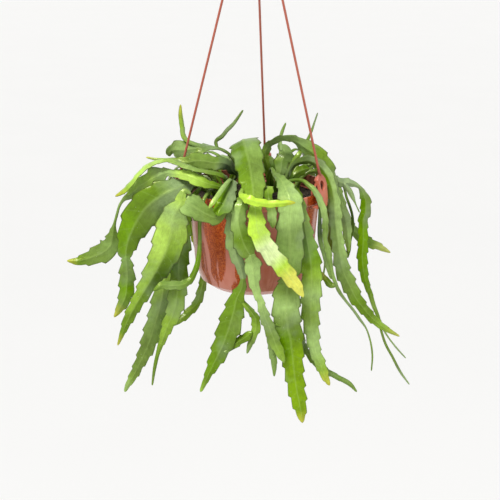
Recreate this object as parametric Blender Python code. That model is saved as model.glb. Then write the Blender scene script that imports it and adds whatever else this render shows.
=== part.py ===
"""A trailing forest cactus with flat toothed stems, in a plastic pot that hangs from a three-strand hanger.

Lengths in the tables are millimetres. Heights are measured from the top of the pot's rim, and +Y is behind
the pot. Everything is parented to an empty that puts the hook's seat at the origin.
"""

import math

import bpy
import numpy as np

MM = 0.001

# Pot
COLLAR_RADIUS = 80.0
COLLAR_HEIGHT = 10.0
COLLAR_THICKNESS = 2.5
WALL_THICKNESS = 2.0
WALL = ((72.0, -11.4), (69.4, -42.0), (66.0, -86.0), (60.4, -103.5))
BASE_RADIUS = 50.0
POT_HEIGHT = 111.0
FLOOR_THICKNESS = 2.4
POT_SIDES = 32
DRAIN_RADIUS = 3.0
DRAIN_CIRCLE = 32.0
DRAIN_COUNT = 5

# Soil
SOIL_TOP = -12.0
SOIL_CROWN = 2.5
FIT_GAP = 0.3
HOLE_RADIUS = 3.3
HOLE_DEPTH = 15.0
HOLE_SIDES = 6
STALK_WIDTH = 4.0

# Hanger
STRAND_AZIMUTHS = (-34.5, 81.0, 199.5)
STRAND_RADIUS = 1.25
STRAND_FOOT = (83.0, 21.0)
STRAND_TOP = (4.0, 309.0)
HUB_RADIUS = 6.5
HUB_BOTTOM = 304.0
HUB_TOP = 316.0
HOOK_SEAT = 350.0
HOOK_BEND_RADIUS = 12.0
HOOK_WIRE_RADIUS = 2.3
HOOK_END_ANGLE = 205.0
CLIP_WIDTH = 15.0
CLIP_INNER_GAP = 1.2
CLIP_SHOULDER = ((2.2, 23.8), (8.5, 23.8), (8.5, 16.0))
CLIP_INNER_SIDE = ((2.6, 26.0), (9.0, 26.0), (9.0, -12.0), (2.6, -12.0))
CLIP_INNER_REACH = 80.8
CLIP_HOLE_HALF = (3.9, 5.2)
CLIP_HOLE_MIDDLE = (-1.4, 11.0)
CLIP_HOLE_SIDES = 10

# Eye point of the front view that the stems were drawn on, and the slope of its line of sight
EYE = np.array((0.0, -1000.0, 242.0))
LOOK_DOWN = math.radians(17.8)
RIGHT = np.array((1.0, 0.0, 0.0))
FORWARD = np.array((0.0, math.cos(LOOK_DOWN), -math.sin(LOOK_DOWN)))
UPWARD = np.array((0.0, math.sin(LOOK_DOWN), math.cos(LOOK_DOWN)))
RIM_DISTANCE = float(-EYE @ FORWARD)
RIM_RISE = float(-EYE @ UPWARD)

# Blades
TOOTH_PITCH = 11.2
TOOTH_PITCH_PER_WIDTH = 0.32
TOOTH_HEIGHT_PER_WIDTH = 0.055
TOOTH_HEIGHT_MOST = 0.95
TOOTH_LEAN = 0.42
TOOTHLESS_WIDTH = 6.0
PLAIN_STEP = 15.5
EDGE_THICKNESS = 0.8
RIB_THICKNESS = 2.4
FOLD = 0.07

# Each shoot has a root on the soil, as (x, y), and blades. A blade's row is (across, up, back, width, turn):
# a point drawn on the front view, how far it lies behind the pot's axis, how wide the blade is there, and how
# many degrees it turns its face from the eye. A branch says which blade it grows from, where along it, and how
# far towards an edge.
SHOOTS = {
    "stem_centre_arch": ((-6, 34), [
        (None, [(-9, 37, 24, 10, 0), (-12, 49, -4, 31, 0), (-10, 42, -26, 33, 0), (-7, 30, -40, 32, 0),
                (-4, 14, -58, 28, 0), (-2, 0, -72, 26, 0), (-1, -11, -84, 21, 0), (-1, -20, -92, 14, 0)]),
        ((0, 0.98, 0.0), [(1, -30, -98, 15, 0), (2, -41, -101, 18, 0), (4, -52, -102, 20, 0),
                          (9, -62, -103, 20, 0), (18, -76, -104, 19, 0), (30, -90, -105, 18, 0),
                          (42, -106, -106, 15, 0), (50, -117, -106, 9, 0), (54, -124, -106, 2, 0)]),
        ((0, 0.9, 0.9), [(-13, -13, -101, 7, 0), (-8, -16, -106, 10, 0), (1, -19, -108, 9, 0),
                         (14, -21, -109, 8, 0), (28, -21, -110, 7, 0), (38, -20, -110, 5, 0),
                         (45, -20, -110, 2, 0)]),
    ]),
    "stem_front_left": ((-14, -18), [
        (None, [(-9, 2, -50, 6, 0), (-11, -10, -72, 9, 0), (-14, -21, -86, 14, 0), (-18, -37, -91, 16, 0),
                (-15, -55, -93, 17, 0), (-10, -69, -94, 22, 0), (-3, -80, -94, 17, 0)]),
        ((0, 0.98, 0.0), [(-2, -88, -94, 18, 0), (-1, -99, -94, 15, 0), (1, -114, -94, 10, 0),
                          (7, -130, -95, 8, 0), (11, -144, -96, 11, 0), (18, -161, -97, 12, 0),
                          (24, -177, -98, 12, 0), (30, -189, -98, 8, 0), (33, -196, -98, 2, 0)]),
        ((1, 0.62, 0.3), [(17, -172, -93, 6, 0), (20, -185, -90, 8, 0), (22, -199, -90, 6, 0),
                          (22, -211, -90, 2, 0)]),
    ]),
    "stem_front_left_low": ((-20, -30), [
        (None, [(-19, -7, -54, 5, 0), (-22, -10, -72, 5, 0), (-24, -20, -83, 6, 0), (-24, -35, -87, 13, 0),
                (-24, -51, -87, 16, 0), (-23, -66, -87, 16, 0), (-19, -81, -87, 13, 0),
                (-14, -95, -87, 9, 0),
                (-12, -106, -87, 7, 0)]),
        ((0, 0.98, 0.0), [(-14, -114, -87, 10, 0), (-19, -124, -88, 16, 0), (-22, -137, -89, 21, 0),
                          (-27, -155, -90, 25, 0), (-34, -175, -91, 22, 0), (-43, -194, -91, 16, 0),
                          (-49, -206, -91, 10, 0), (-59, -228, -91, 3, 0)]),
        ((1, 0.14, 0.5), [(-12, -130, -87, 5, 0), (-5, -138, -86, 7, 0), (1, -147, -86, 9, 0),
                          (2, -157, -86, 10, 0), (-1, -167, -86, 8, 0), (-5, -177, -86, 6, 0),
                          (-8, -186, -86, 2, 0)]),
        ((1, 0.62, -0.5), [(-24, -177, -88, 9, 0), (-16, -172, -88, 9, 0), (-7, -166, -88, 9, 0),
                           (-2, -162, -87, 5, 0)]),
    ]),
    "stem_left_ribbons": ((-31, -24), [
        (None, [(-23, 4, -50, 9, 15), (-27, -5, -70, 14, 15), (-31, -15, -84, 19, 15),
                (-35, -24, -92, 20, 15),
                (-39, -30, -97, 13, 15), (-40, -35, -99, 4, 15)]),
        ((0, 0.3, 0.0), [(-37, 11, -58, 8, 55), (-50, 14, -62, 9, 60), (-60, 16, -62, 9, 62),
                         (-71, 19, -62, 9, 55), (-82, 23, -58, 9, 55), (-93, 27, -54, 9, 58),
                         (-104, 26, -50, 9, 62), (-113, 23, -47, 9, 60), (-121, 18, -46, 9, 60),
                         (-129, 10, -46, 9, 60), (-136, 1, -46, 9, 55), (-145, -8, -46, 7, 50),
                         (-153, -13, -46, 2, 50)]),
        ((0, 0.3, 0.0), [(-40, -2, -64, 7, 15), (-52, 1, -66, 10, 20), (-60, 4, -66, 14, 20),
                         (-68, 8, -64, 13, 15), (-78, 11, -60, 11, 10), (-87, 12, -56, 9, 5),
                         (-96, 13, -50, 9, 0), (-107, 9, -45, 21, 0), (-118, 3, -42, 17, 0),
                         (-128, -3, -40, 14, 0), (-136, -11, -40, 10, 0), (-144, -17, -40, 4, 0),
                         (-148, -23, -40, 3, 0), (-151, -33, -41, 3, 0), (-154, -45, -42, 4, 0),
                         (-156, -57, -44, 13, 0), (-158, -67, -44, 21, 0), (-167, -75, -44, 22, 0),
                         (-179, -80, -44, 17, 0), (-193, -84, -44, 10, 0), (-206, -84, -44, 2, 0)]),
        ((0, 0.34, 0.5), [(-27, 5, -64, 4, 0), (-34, -3, -82, 5, 0), (-41, -13, -95, 5, 0),
                          (-48, -23, -101, 4, 0), (-50, -26, -102, 2, 0)]),
    ]),
    "stem_left_saddle": ((-36, -28), [
        (None, [(-34, -14, -52, 4, 0), (-32, -11, -70, 5, 0), (-32, -20, -84, 6, 0), (-35, -32, -91, 9, 0),
                (-43, -36, -92, 15, 5), (-52, -33, -92, 18, 10), (-61, -28, -92, 22, 15),
                (-69, -23, -92, 25, 10), (-75, -19, -91, 25, 0), (-80, -15, -89, 20, 0)]),
        ((0, 0.97, 0.75), [(-77, -7, -89, 6, 0), (-80, -13, -91, 10, 0), (-81, -20, -92, 14, 0),
                          (-85, -28, -91, 22, 0), (-88, -35, -89, 28, 0), (-90, -44, -87, 32, 0),
                          (-92, -55, -85, 35, 0), (-95, -66, -84, 34, 0), (-101, -81, -82, 30, 0),
                          (-111, -100, -80, 24, 0), (-121, -117, -78, 18, 0), (-130, -132, -77, 14, 0),
                          (-138, -147, -76, 12, 0), (-144, -161, -75, 7, 0), (-150, -177, -74, 2, 0)]),
    ]),
    "stem_left_hooked": ((-42, -36), [
        (None, [(-50, -8, -62, 4, 0), (-56, -18, -71, 4, 0), (-60, -40, -73, 4, 0), (-60, -62, -73, 4, 0),
                (-61, -78, -74, 5, 0), (-64, -92, -75, 6, 0), (-69, -103, -76, 7, 0),
                (-76, -109, -80, 9, 0),
                (-90, -111, -86, 10, 0), (-102, -111, -90, 8, 0), (-111, -117, -92, 2, 0)]),
    ]),
    "stem_left_broad_front": ((-38, -12), [
        (None, [(-54, -2, -34, 4, 0), (-63, -8, -50, 5, 0), (-69, -18, -60, 8, 0), (-75, -31, -63, 12, 0),
                (-78, -48, -64, 17, 0), (-80, -67, -64, 20, 0), (-83, -86, -64, 21, 0),
                (-83, -106, -64, 19, 0), (-85, -122, -64, 20, 0), (-88, -139, -64, 18, 0),
                (-95, -155, -63, 14, 0), (-100, -169, -62, 9, 0), (-105, -183, -62, 5, 0),
                (-109, -200, -62, 4, 0), (-112, -221, -62, 2, 0)]),
    ]),
    "stem_left_broad_rear": ((-50, -16), [
        (None, [(-61, -3, -28, 4, 0), (-68, -3, -42, 5, 0), (-77, -10, -51, 8, 0), (-84, -28, -54, 12, 0),
                (-89, -48, -54, 15, 0), (-92, -67, -54, 18, 0), (-96, -86, -54, 20, 0),
                (-99, -106, -54, 20, 0), (-102, -128, -54, 22, 0), (-107, -147, -53, 21, 0),
                (-113, -166, -53, 20, 0), (-120, -185, -52, 16, 0), (-127, -199, -52, 12, 0),
                (-133, -211, -51, 10, 0), (-139, -221, -51, 6, 0), (-142, -228, -51, 3, 0)]),
    ]),
    "stem_left_shield": ((-46, -2), [
        (None, [(-55, 8, -28, 6, 20), (-66, 4, -44, 12, 20), (-78, -1, -58, 20, 20), (-91, -7, -66, 28, 10),
                (-106, -15, -69, 33, 0), (-119, -26, -69, 36, 0), (-130, -42, -67, 34, 0),
                (-137, -57, -65, 26, 0), (-141, -72, -64, 19, 0), (-141, -83, -64, 13, 0)]),
        ((0, 0.98, 0.0), [(-140, -95, -64, 16, 0), (-140, -110, -64, 17, 0), (-142, -124, -65, 15, 0),
                          (-148, -137, -66, 9, 0), (-154, -146, -66, 2, 0)]),
    ]),
    "stem_left_upper": ((-30, 16), [
        (None, [(-20, 24, 8, 6, 50), (-30, 36, 4, 8, 70), (-43, 41, -2, 10, 70), (-56, 41, -6, 16, 50),
                (-68, 39, -8, 20, 20), (-79, 38, -10, 21, 0), (-87, 38, -12, 18, -10),
                (-92, 37, -12, 13, -35),
                (-93, 31, -10, 5, -40)]),
        ((0, 0.72, 0.0), [(-77, 52, -6, 6, 30), (-79, 64, -2, 6, 30), (-81, 77, 0, 5, 30),
                          (-81, 88, 2, 2, 30)]),
        ((0, 0.58, 0.0), [(-42, 47, 0, 5, 45), (-35, 53, 4, 6, 45), (-29, 60, 10, 6, 45),
                          (-23, 66, 14, 5, 45),
                          (-18, 73, 17, 4, 45), (-12, 82, 20, 2, 45)]),
    ]),
    "stem_left_middle": ((-30, 0), [
        (None, [(-20, 12, -20, 5, 0), (-24, 15, -24, 9, 0), (-28, 21, -30, 12, 10), (-37, 24, -38, 14, 15),
                (-46, 24, -43, 16, 15), (-56, 26, -46, 18, 10), (-65, 26, -47, 17, 0),
                (-76, 24, -46, 13, 0),
                (-87, 26, -43, 8, 0), (-98, 27, -39, 4, 0), (-109, 28, -36, 3, 0), (-119, 30, -34, 2, 0)]),
    ]),
    "stem_front_long": ((14, -12), [
        (None, [(19, 17, -30, 4, 0), (23, 11, -46, 6, 0), (29, 5, -60, 12, 0), (35, -6, -74, 20, 0),
                (39, -17, -83, 25, 0), (40, -28, -87, 26, 0), (40, -39, -88, 27, 0), (39, -50, -88, 28, 0),
                (39, -64, -88, 29, 0), (39, -81, -88, 28, 0), (37, -97, -88, 26, 0),
                (36, -106, -88, 24, 0)]),
        ((0, 0.98, 0.0), [(36, -117, -88, 27, 0), (35, -133, -88, 29, 0), (36, -152, -89, 30, 0),
                          (40, -172, -89, 28, 0), (42, -188, -90, 24, 0), (44, -207, -90, 21, 0),
                          (47, -227, -90, 19, 0), (50, -242, -90, 16, 0), (52, -254, -90, 10, 0),
                          (53, -262, -90, 3, 0)]),
        ((1, 0.3, 0.8), [(51, -165, -82, 6, 0), (54, -176, -68, 7, 0), (60, -187, -62, 7, 0),
                         (68, -197, -60, 7, 0), (81, -206, -60, 7, 0), (92, -212, -60, 6, 0),
                         (106, -220, -60, 5, 0), (113, -228, -60, 2, 0)]),
    ]),
    "stem_front_right": ((40, -32), [
        (None, [(43, -4, -48, 5, 0), (48, -10, -64, 7, 0), (51, -20, -72, 9, 0), (53, -33, -75, 11, 0),
                (56, -50, -76, 15, 0), (58, -62, -76, 17, 0), (60, -73, -76, 20, 0), (62, -86, -76, 22, 0),
                (63, -100, -76, 22, 0), (63, -114, -76, 22, 0), (62, -130, -76, 21, 0),
                (62, -147, -76, 19, 0), (64, -165, -76, 16, 0), (67, -183, -76, 13, 0),
                (73, -198, -76, 12, 0), (78, -211, -76, 9, 0), (83, -221, -76, 3, 0)]),
    ]),
    "stem_right_slender": ((30, -16), [
        (None, [(40, 4, -42, 4, 0), (47, 5, -48, 4, 0), (54, 4, -54, 4, 0), (59, 0, -59, 5, 0),
                (66, -6, -64, 6, 0), (72, -17, -68, 7, 0), (76, -28, -69, 7, 0), (78, -39, -68, 7, 0),
                (78, -50, -67, 7, 0), (78, -61, -66, 5, 0), (81, -72, -66, 7, 0), (83, -83, -65, 6, 0),
                (85, -94, -64, 4, 0), (88, -105, -63, 4, 0), (91, -112, -62, 4, 0)]),
        ((0, 0.98, 0.0), [(92, -115, -62, 4, 0), (100, -127, -61, 3, 0), (109, -138, -60, 3, 0),
                          (116, -148, -59, 3, 0), (123, -158, -58, 2, 0), (127, -169, -58, 2, 0),
                          (130, -188, -58, 2, 0), (129, -205, -58, 1.5, 0)]),
        ((0, 0.99, 0.0), [(86, -111, -61, 6, 0), (80, -106, -60, 7, 0), (76, -100, -59, 4, 0),
                          (74, -96, -58, 2, 0)]),
        ((0, 0.5, 0.0), [(72, -26, -63, 3, 0), (72, -39, -60, 4, 0), (72, -52, -60, 5, 0),
                          (73, -64, -60, 5, 0), (76, -75, -60, 4, 0), (79, -86, -60, 4, 0),
                          (82, -95, -60, 4, 0), (85, -104, -60, 3, 0)]),
    ]),
    "stem_right_young": ((40, -14), [
        (None, [(43, 9, -24, 8, 0), (49, 14, -22, 12, 0), (56, 17, -20, 9, 0), (61, 17, -18, 2, 0)]),
    ]),
    "stem_right_broad": ((42, 2), [
        (None, [(44, 22, -10, 6, 0), (53, 26, -17, 10, 30), (63, 26, -24, 13, 40), (74, 19, -30, 14, 30),
                (82, 7, -35, 12, 15), (86, -6, -38, 10, 0), (88, -18, -39, 13, 0), (89, -33, -40, 15, 0),
                (90, -48, -40, 14, 0), (92, -64, -40, 14, 0), (95, -82, -40, 16, 0), (98, -96, -40, 17, 0),
                (105, -111, -40, 17, 0), (112, -125, -40, 15, 0), (121, -137, -40, 12, 0),
                (132, -149, -40, 10, 0), (144, -158, -40, 7, 0), (160, -167, -40, 2, 0)]),
    ]),
    "stem_right_arch": ((20, 22), [
        (None, [(15, 21, 14, 6, 0), (12, 31, 12, 9, 0), (13, 38, 10, 10, 0), (16, 43, 8, 9, 30),
                (22, 47, 5, 10, 50), (29, 50, 2, 13, 60), (38, 50, -1, 15, 60), (47, 47, -4, 17, 55),
                (56, 41, -6, 19, 40), (65, 35, -8, 22, 30), (72, 27, -9, 22, 20), (79, 18, -11, 19, 10),
                (84, 8, -12, 14, 0), (88, -3, -13, 10, 0), (91, -14, -14, 9, 0), (95, -26, -15, 10, 0),
                (100, -37, -16, 12, 0), (102, -49, -16, 11, 0), (103, -61, -16, 8, 0),
                (104, -74, -16, 3, 0)]),
        ((0, 0.64, 0.0), [(91, 4, -9, 10, 0), (98, 2, -8, 10, 0), (105, 2, -8, 9, 0), (111, 0, -8, 6, 0),
                          (116, -3, -8, 4, 0), (119, -8, -8, 7, 0), (122, -15, -8, 11, 0),
                          (123, -24, -8, 12, 0), (122, -32, -8, 12, 0), (120, -39, -8, 11, 0),
                          (120, -50, -8, 11, 0), (120, -64, -8, 12, 0), (119, -79, -8, 12, 0),
                          (120, -92, -8, 11, 0), (123, -107, -8, 8, 0), (128, -121, -8, 6, 0),
                          (132, -134, -9, 5, 0), (137, -147, -10, 4, 0), (140, -161, -11, 3, 0),
                          (145, -176, -12, 3, 0), (152, -189, -12, 3, 0), (161, -206, -12, 3, 0),
                          (171, -220, -12, 1.5, 0)]),
        ((1, 0.06, 0.0), [(99, -3, -5, 3, 0), (102, -15, -3, 3, 0), (105, -23, -2, 3, 0),
                          (108, -34, -2, 3, 0),
                          (108, -50, -2, 4, 0), (105, -61, -2, 5, 0), (104, -72, -2, 5, 0),
                          (103, -81, -2, 2, 0)]),
        ((1, 0.07, 0.0), [(102, -3, -11, 5, 0), (105, -7, -13, 6, 0), (108, -13, -15, 5, 0),
                          (111, -20, -17, 2, 0),
                          (116, -31, -18, 1.5, 0)]),
        ((1, 0.7, 0.0), [(147, -167, -15, 2, 0), (157, -180, -16, 2, 0), (167, -191, -16, 1.5, 0)]),
        ((0, 0.08, 0.0), [(19, 4, 23, 8, 0), (18, 12, 26, 14, 0), (17, 21, 28, 16, 0), (15, 29, 30, 10, 0),
                          (14, 33, 31, 2, 0)]),
    ]),
    "stem_right_rear": ((46, 18), [
        (None, [(66, 15, 20, 5, 0), (77, 13, 20, 6, 0), (88, 3, 18, 8, 0), (96, -20, 14, 10, 0),
                (103, -42, 10, 11, 0), (112, -53, 8, 12, 0), (125, -63, 8, 12, 0), (139, -69, 8, 8, 0),
                (150, -75, 8, 2, 0)]),
    ]),
    "stem_upright_grey": ((24, 11), [
        (None, [(29, 14, 8, 12, 0), (30, 20, 10, 15, 0), (31, 27, 12, 18, 0), (34, 32, 14, 20, 0),
                (33, 38, 17, 15, 0), (29, 42, 19, 8, 0), (27, 46, 20, 2, 0)]),
        ((0, 0.88, -0.4), [(29, 50, 20, 4, 30), (31, 58, 21, 4, 30), (35, 68, 22, 2, 30)]),
    ]),
    "stem_upright_thin": ((32, 0), [
        (None, [(38, 14, -1, 5, 0), (43, 23, -2, 6, 0), (49, 33, -1, 6, 0), (54, 40, 6, 4, 30),
                (58, 47, 12, 4, 30), (63, 58, 13, 3, 30), (67, 70, 14, 2, 30), (70, 79, 14, 1.5, 30)]),
    ]),
    "stem_young_centre": ((15, -44), [
        (None, [(14, -10, -46, 7, 0), (14, -4, -54, 11, 0), (14, -3, -66, 13, 0), (15, -9, -78, 11, 0),
                (16, -16, -87, 7, 0), (18, -24, -91, 9, 0), (19, -32, -91, 10, 0), (20, -40, -91, 9, 0),
                (20, -48, -91, 3, 0)]),
    ]),
    "stem_rear_left": ((-38, 36), [
        (None, [(-58, 18, 50, 5, 0), (-61, 0, 60, 8, 0), (-61, -20, 62, 11, 0), (-60, -45, 58, 13, 0),
                (-57, -75, 48, 12, 0), (-55, -100, 38, 9, 0), (-58, -117, 30, 10, 0),
                (-63, -131, 25, 10, 0),
                (-72, -141, 21, 10, 0), (-81, -149, 17, 8, 0), (-91, -156, 14, 2, 0)]),
    ]),
}

# Stems that hang behind the pot: azimuth, root radius, how high they rise, how far out and down they hang,
# greatest width, twist at the tip and how many degrees they drift round the pot on the way down
REAR_SHOOTS = {
    "stem_back_1": (62.0, 42.0, 22.0, 104.0, 118.0, 22.0, 20.0, 4.0),
    "stem_back_2": (97.0, 48.0, 28.0, 112.0, 138.0, 25.0, -25.0, -3.0),
    "stem_back_3": (118.0, 46.0, 18.0, 98.0, 96.0, 20.0, 15.0, 5.0),
    "stem_back_4": (38.0, 50.0, 20.0, 106.0, 128.0, 20.0, 30.0, -4.0),
    "stem_back_5": (151.0, 48.0, 22.0, 102.0, 150.0, 22.0, -20.0, -3.0),
    "stem_back_6": (177.0, 50.0, 16.0, 104.0, 176.0, 20.0, 25.0, 2.0),
    "stem_back_7": (23.0, 54.0, 14.0, 96.0, 104.0, 15.0, -20.0, -2.0),
    "stem_back_8": (50.0, 42.0, 28.0, 118.0, 160.0, 14.0, -15.0, 9.0),
    "stem_back_9": (134.0, 32.0, 26.0, 110.0, 108.0, 17.0, 20.0, -4.0),
    "stem_back_10": (107.5, 56.0, 20.0, 126.0, 116.0, 17.0, 15.0, -12.0),
    "stem_back_11": (142.5, 40.0, 18.0, 124.0, 140.0, 15.0, -15.0, 8.0),
    "stem_back_12": (30.0, 40.0, 15.0, 120.0, 92.0, 12.0, 20.0, 6.0),
    "stem_back_13": (164.0, 44.0, 18.0, 110.0, 140.0, 17.0, -20.0, 3.0),
}


def clear_scene():
    for thing in list(bpy.data.objects):
        bpy.data.objects.remove(thing, do_unlink=True)


def material(name, color, roughness):
    made = bpy.data.materials.new(name)
    made.use_nodes = True
    shader = made.node_tree.nodes["Principled BSDF"]
    shader.inputs["Base Color"].default_value = (*color, 1.0)
    shader.inputs["Roughness"].default_value = roughness
    shader.inputs["Metallic"].default_value = 0.0
    return made


def mesh_object(name, points, faces, finish):
    """An object of these points, in millimetres, with smooth faces between its sharp edges."""
    mesh = bpy.data.meshes.new(name)
    mesh.from_pydata([[value * MM for value in point] for point in points], [], faces)
    mesh.materials.append(finish)
    mesh.shade_smooth()
    mesh.set_sharp_from_angle(angle=math.radians(40))
    thing = bpy.data.objects.new(name, mesh)
    bpy.context.scene.collection.objects.link(thing)
    return thing


def combine(base, others, operation):
    """Joins others to base, or cuts them from it, and keeps only base."""
    group = bpy.data.collections.new(base.name + "_others")
    bpy.context.scene.collection.children.link(group)
    for other in others:
        bpy.context.scene.collection.objects.unlink(other)
        group.objects.link(other)
    modifier = base.modifiers.new("combine", "BOOLEAN")
    modifier.operation = operation
    modifier.solver = "MANIFOLD"
    modifier.operand_type = "COLLECTION"
    modifier.collection = group
    graph = bpy.context.evaluated_depsgraph_get()
    mesh = bpy.data.meshes.new_from_object(base.evaluated_get(graph))
    base.modifiers.clear()
    base.data = mesh
    for other in list(group.objects):
        bpy.data.objects.remove(other, do_unlink=True)
    bpy.data.collections.remove(group)


def turned(name, profile, sides, finish):
    """A solid turned about Z from (radius, height) pairs that run up its outside, from axis to axis."""
    points, faces, rings = [], [], []
    for radius, height in profile:
        if radius == 0.0:
            rings.append([len(points)] * sides)
            points.append((0.0, 0.0, height))
            continue
        rings.append([len(points) + k for k in range(sides)])
        for k in range(sides):
            angle = 2 * math.pi * k / sides
            points.append((radius * math.cos(angle), radius * math.sin(angle), height))
    for low, high in zip(rings, rings[1:]):
        for k in range(sides):
            n = (k + 1) % sides
            corners = [low[k], low[n], high[n], high[k]]
            faces.append(list(dict.fromkeys(corners)))
    return mesh_object(name, points, faces, finish)


def rod(name, start, end, radius, sides, finish):
    """A straight round bar between two points."""
    start, end = np.array(start, float), np.array(end, float)
    along = (end - start) / np.linalg.norm(end - start)
    side = np.cross(along, RIGHT if abs(along[0]) < 0.9 else UPWARD)
    side /= np.linalg.norm(side)
    other = np.cross(along, side)
    points = []
    for centre in (start, end):
        for k in range(sides):
            angle = 2 * math.pi * k / sides
            points.append(centre + radius * (math.cos(angle) * side + math.sin(angle) * other))
    faces = [[k, (k + 1) % sides, sides + (k + 1) % sides, sides + k] for k in range(sides)]
    faces.append(list(range(sides))[::-1])
    faces.append([sides + k for k in range(sides)])
    return mesh_object(name, points, faces, finish)


def make_pot(finish):
    inner = COLLAR_RADIUS - COLLAR_THICKNESS
    (top_radius, top_height), *lower = WALL
    profile = [
        (0.0, -POT_HEIGHT + 1.4),
        (DRAIN_CIRCLE - 10.0, -POT_HEIGHT + 1.4),
        (DRAIN_CIRCLE - 8.0, -POT_HEIGHT),
        (BASE_RADIUS, -POT_HEIGHT),
        *lower[::-1],
        (top_radius, top_height),
        (COLLAR_RADIUS - 0.6, -COLLAR_HEIGHT - 0.2),
        (COLLAR_RADIUS, -COLLAR_HEIGHT + 0.4),
        (COLLAR_RADIUS, -0.7),
        (COLLAR_RADIUS - 0.7, 0.0),
        (inner, 0.0),
        (inner, -COLLAR_HEIGHT + 1.6),
        (top_radius - WALL_THICKNESS, top_height + 2.0),
        *[(radius - WALL_THICKNESS, height + 0.4) for radius, height in lower],
        (BASE_RADIUS - 1.5, -POT_HEIGHT + FLOOR_THICKNESS),
        (0.0, -POT_HEIGHT + FLOOR_THICKNESS + 1.0),
    ]
    pot = turned("pot", profile, POT_SIDES, finish)
    drains = []
    for k in range(DRAIN_COUNT):
        angle = 2 * math.pi * (k + 0.5) / DRAIN_COUNT
        x, y = DRAIN_CIRCLE * math.cos(angle), DRAIN_CIRCLE * math.sin(angle)
        low, high = (x, y, -POT_HEIGHT - 5), (x, y, -POT_HEIGHT + 8)
        drains.append(rod(f"drain_{k}", low, high, DRAIN_RADIUS, 8, finish))
    combine(pot, drains, "DIFFERENCE")
    return pot


def make_soil(finish, roots):
    clear = WALL_THICKNESS + FIT_GAP
    (top_radius, _), *lower = WALL
    profile = [
        (0.0, -POT_HEIGHT + FLOOR_THICKNESS + 1.4),
        (BASE_RADIUS - 1.5, -POT_HEIGHT + FLOOR_THICKNESS + 1.4),
        *[(radius - clear - 0.4, height + 1.0) for radius, height in lower[::-1]],
        (top_radius - clear - 0.3, SOIL_TOP),
        (0.0, SOIL_TOP + SOIL_CROWN),
    ]
    soil = turned("potting_soil", profile, POT_SIDES, finish)
    holes = []
    for k, (x, y) in enumerate(roots):
        low, high = (x, y, SOIL_TOP - HOLE_DEPTH), (x, y, SOIL_TOP + 10)
        holes.append(rod(f"hole_{k}", low, high, HOLE_RADIUS, HOLE_SIDES, finish))
    combine(soil, holes, "DIFFERENCE")
    return soil


def placed(azimuth, radius, offset, height):
    """A point at this azimuth, this far from the pot's axis, moved along the rim and lifted."""
    turn = math.radians(azimuth)
    outward = np.array((math.cos(turn), math.sin(turn), 0.0))
    across = np.array((-math.sin(turn), math.cos(turn), 0.0))
    return outward * radius + across * offset + np.array((0.0, 0.0, height))


def prism(name, near, far, finish):
    """A solid between two ends with as many corners."""
    count = len(near)
    faces = [[k, count + k, count + (k + 1) % count, (k + 1) % count] for k in range(count)]
    faces.append(list(range(count)))
    faces.append([count + k for k in range(count)][::-1])
    return mesh_object(name, near + far, faces, finish)


def clip_cutters(azimuth, finish):
    """What is cut from a clip: the corners beside the strand, the sides of the inner leg and an oval hole."""
    start, end = 66.0, 98.0
    oval = []
    for k in range(CLIP_HOLE_SIDES):
        angle = -2 * math.pi * k / CLIP_HOLE_SIDES
        offset = CLIP_HOLE_MIDDLE[0] + CLIP_HOLE_HALF[0] * math.cos(angle)
        oval.append((offset, CLIP_HOLE_MIDDLE[1] + CLIP_HOLE_HALF[1] * math.sin(angle)))
    shapes = [(oval, end)]
    for corners, reach in ((CLIP_SHOULDER, end), (CLIP_INNER_SIDE, CLIP_INNER_REACH)):
        shapes.append((corners, reach))
        shapes.append(([(-offset, height) for offset, height in corners[::-1]], reach))
    cutters = []
    for corners, reach in shapes:
        near = [placed(azimuth, start, offset, height) for offset, height in corners]
        far = [placed(azimuth, reach, offset, height) for offset, height in corners]
        cutters.append(prism("clip_cutter", near, far, finish))
    return cutters


def make_clip(name, azimuth, finish):
    """The strap that straddles the rim at the foot of a strand, from an outline of (radius, height)."""
    inside = COLLAR_RADIUS - COLLAR_THICKNESS - CLIP_INNER_GAP
    under = -COLLAR_HEIGHT - 3 * FIT_GAP
    outline = [
        (inside - 1.8, -7.2),
        (inside, -7.6),
        (inside, 2.0),
        (inside + 1.6, 9.6),
        (81.6, 16.8),
        (85.0, 10.4),
        (86.6, -4.0),
        (86.0, under),
        (COLLAR_RADIUS - 1.2, under),
        (COLLAR_RADIUS - 1.2, under - 1.8),
        (87.2, under - 2.6),
        (88.8, under - 0.6),
        (89.2, -4.0),
        (87.6, 11.4),
        (84.6, 19.8),
        (STRAND_FOOT[0], STRAND_FOOT[1] + 1.6),
        (80.6, 19.6),
        (inside - 0.6, 11.2),
        (inside - 2.2, 2.0),
    ]
    near = [placed(azimuth, radius, -CLIP_WIDTH / 2, height) for radius, height in outline]
    far = [placed(azimuth, radius, CLIP_WIDTH / 2, height) for radius, height in outline]
    clip = prism(name, near, far, finish)
    combine(clip, clip_cutters(azimuth, finish), "DIFFERENCE")
    return clip


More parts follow.
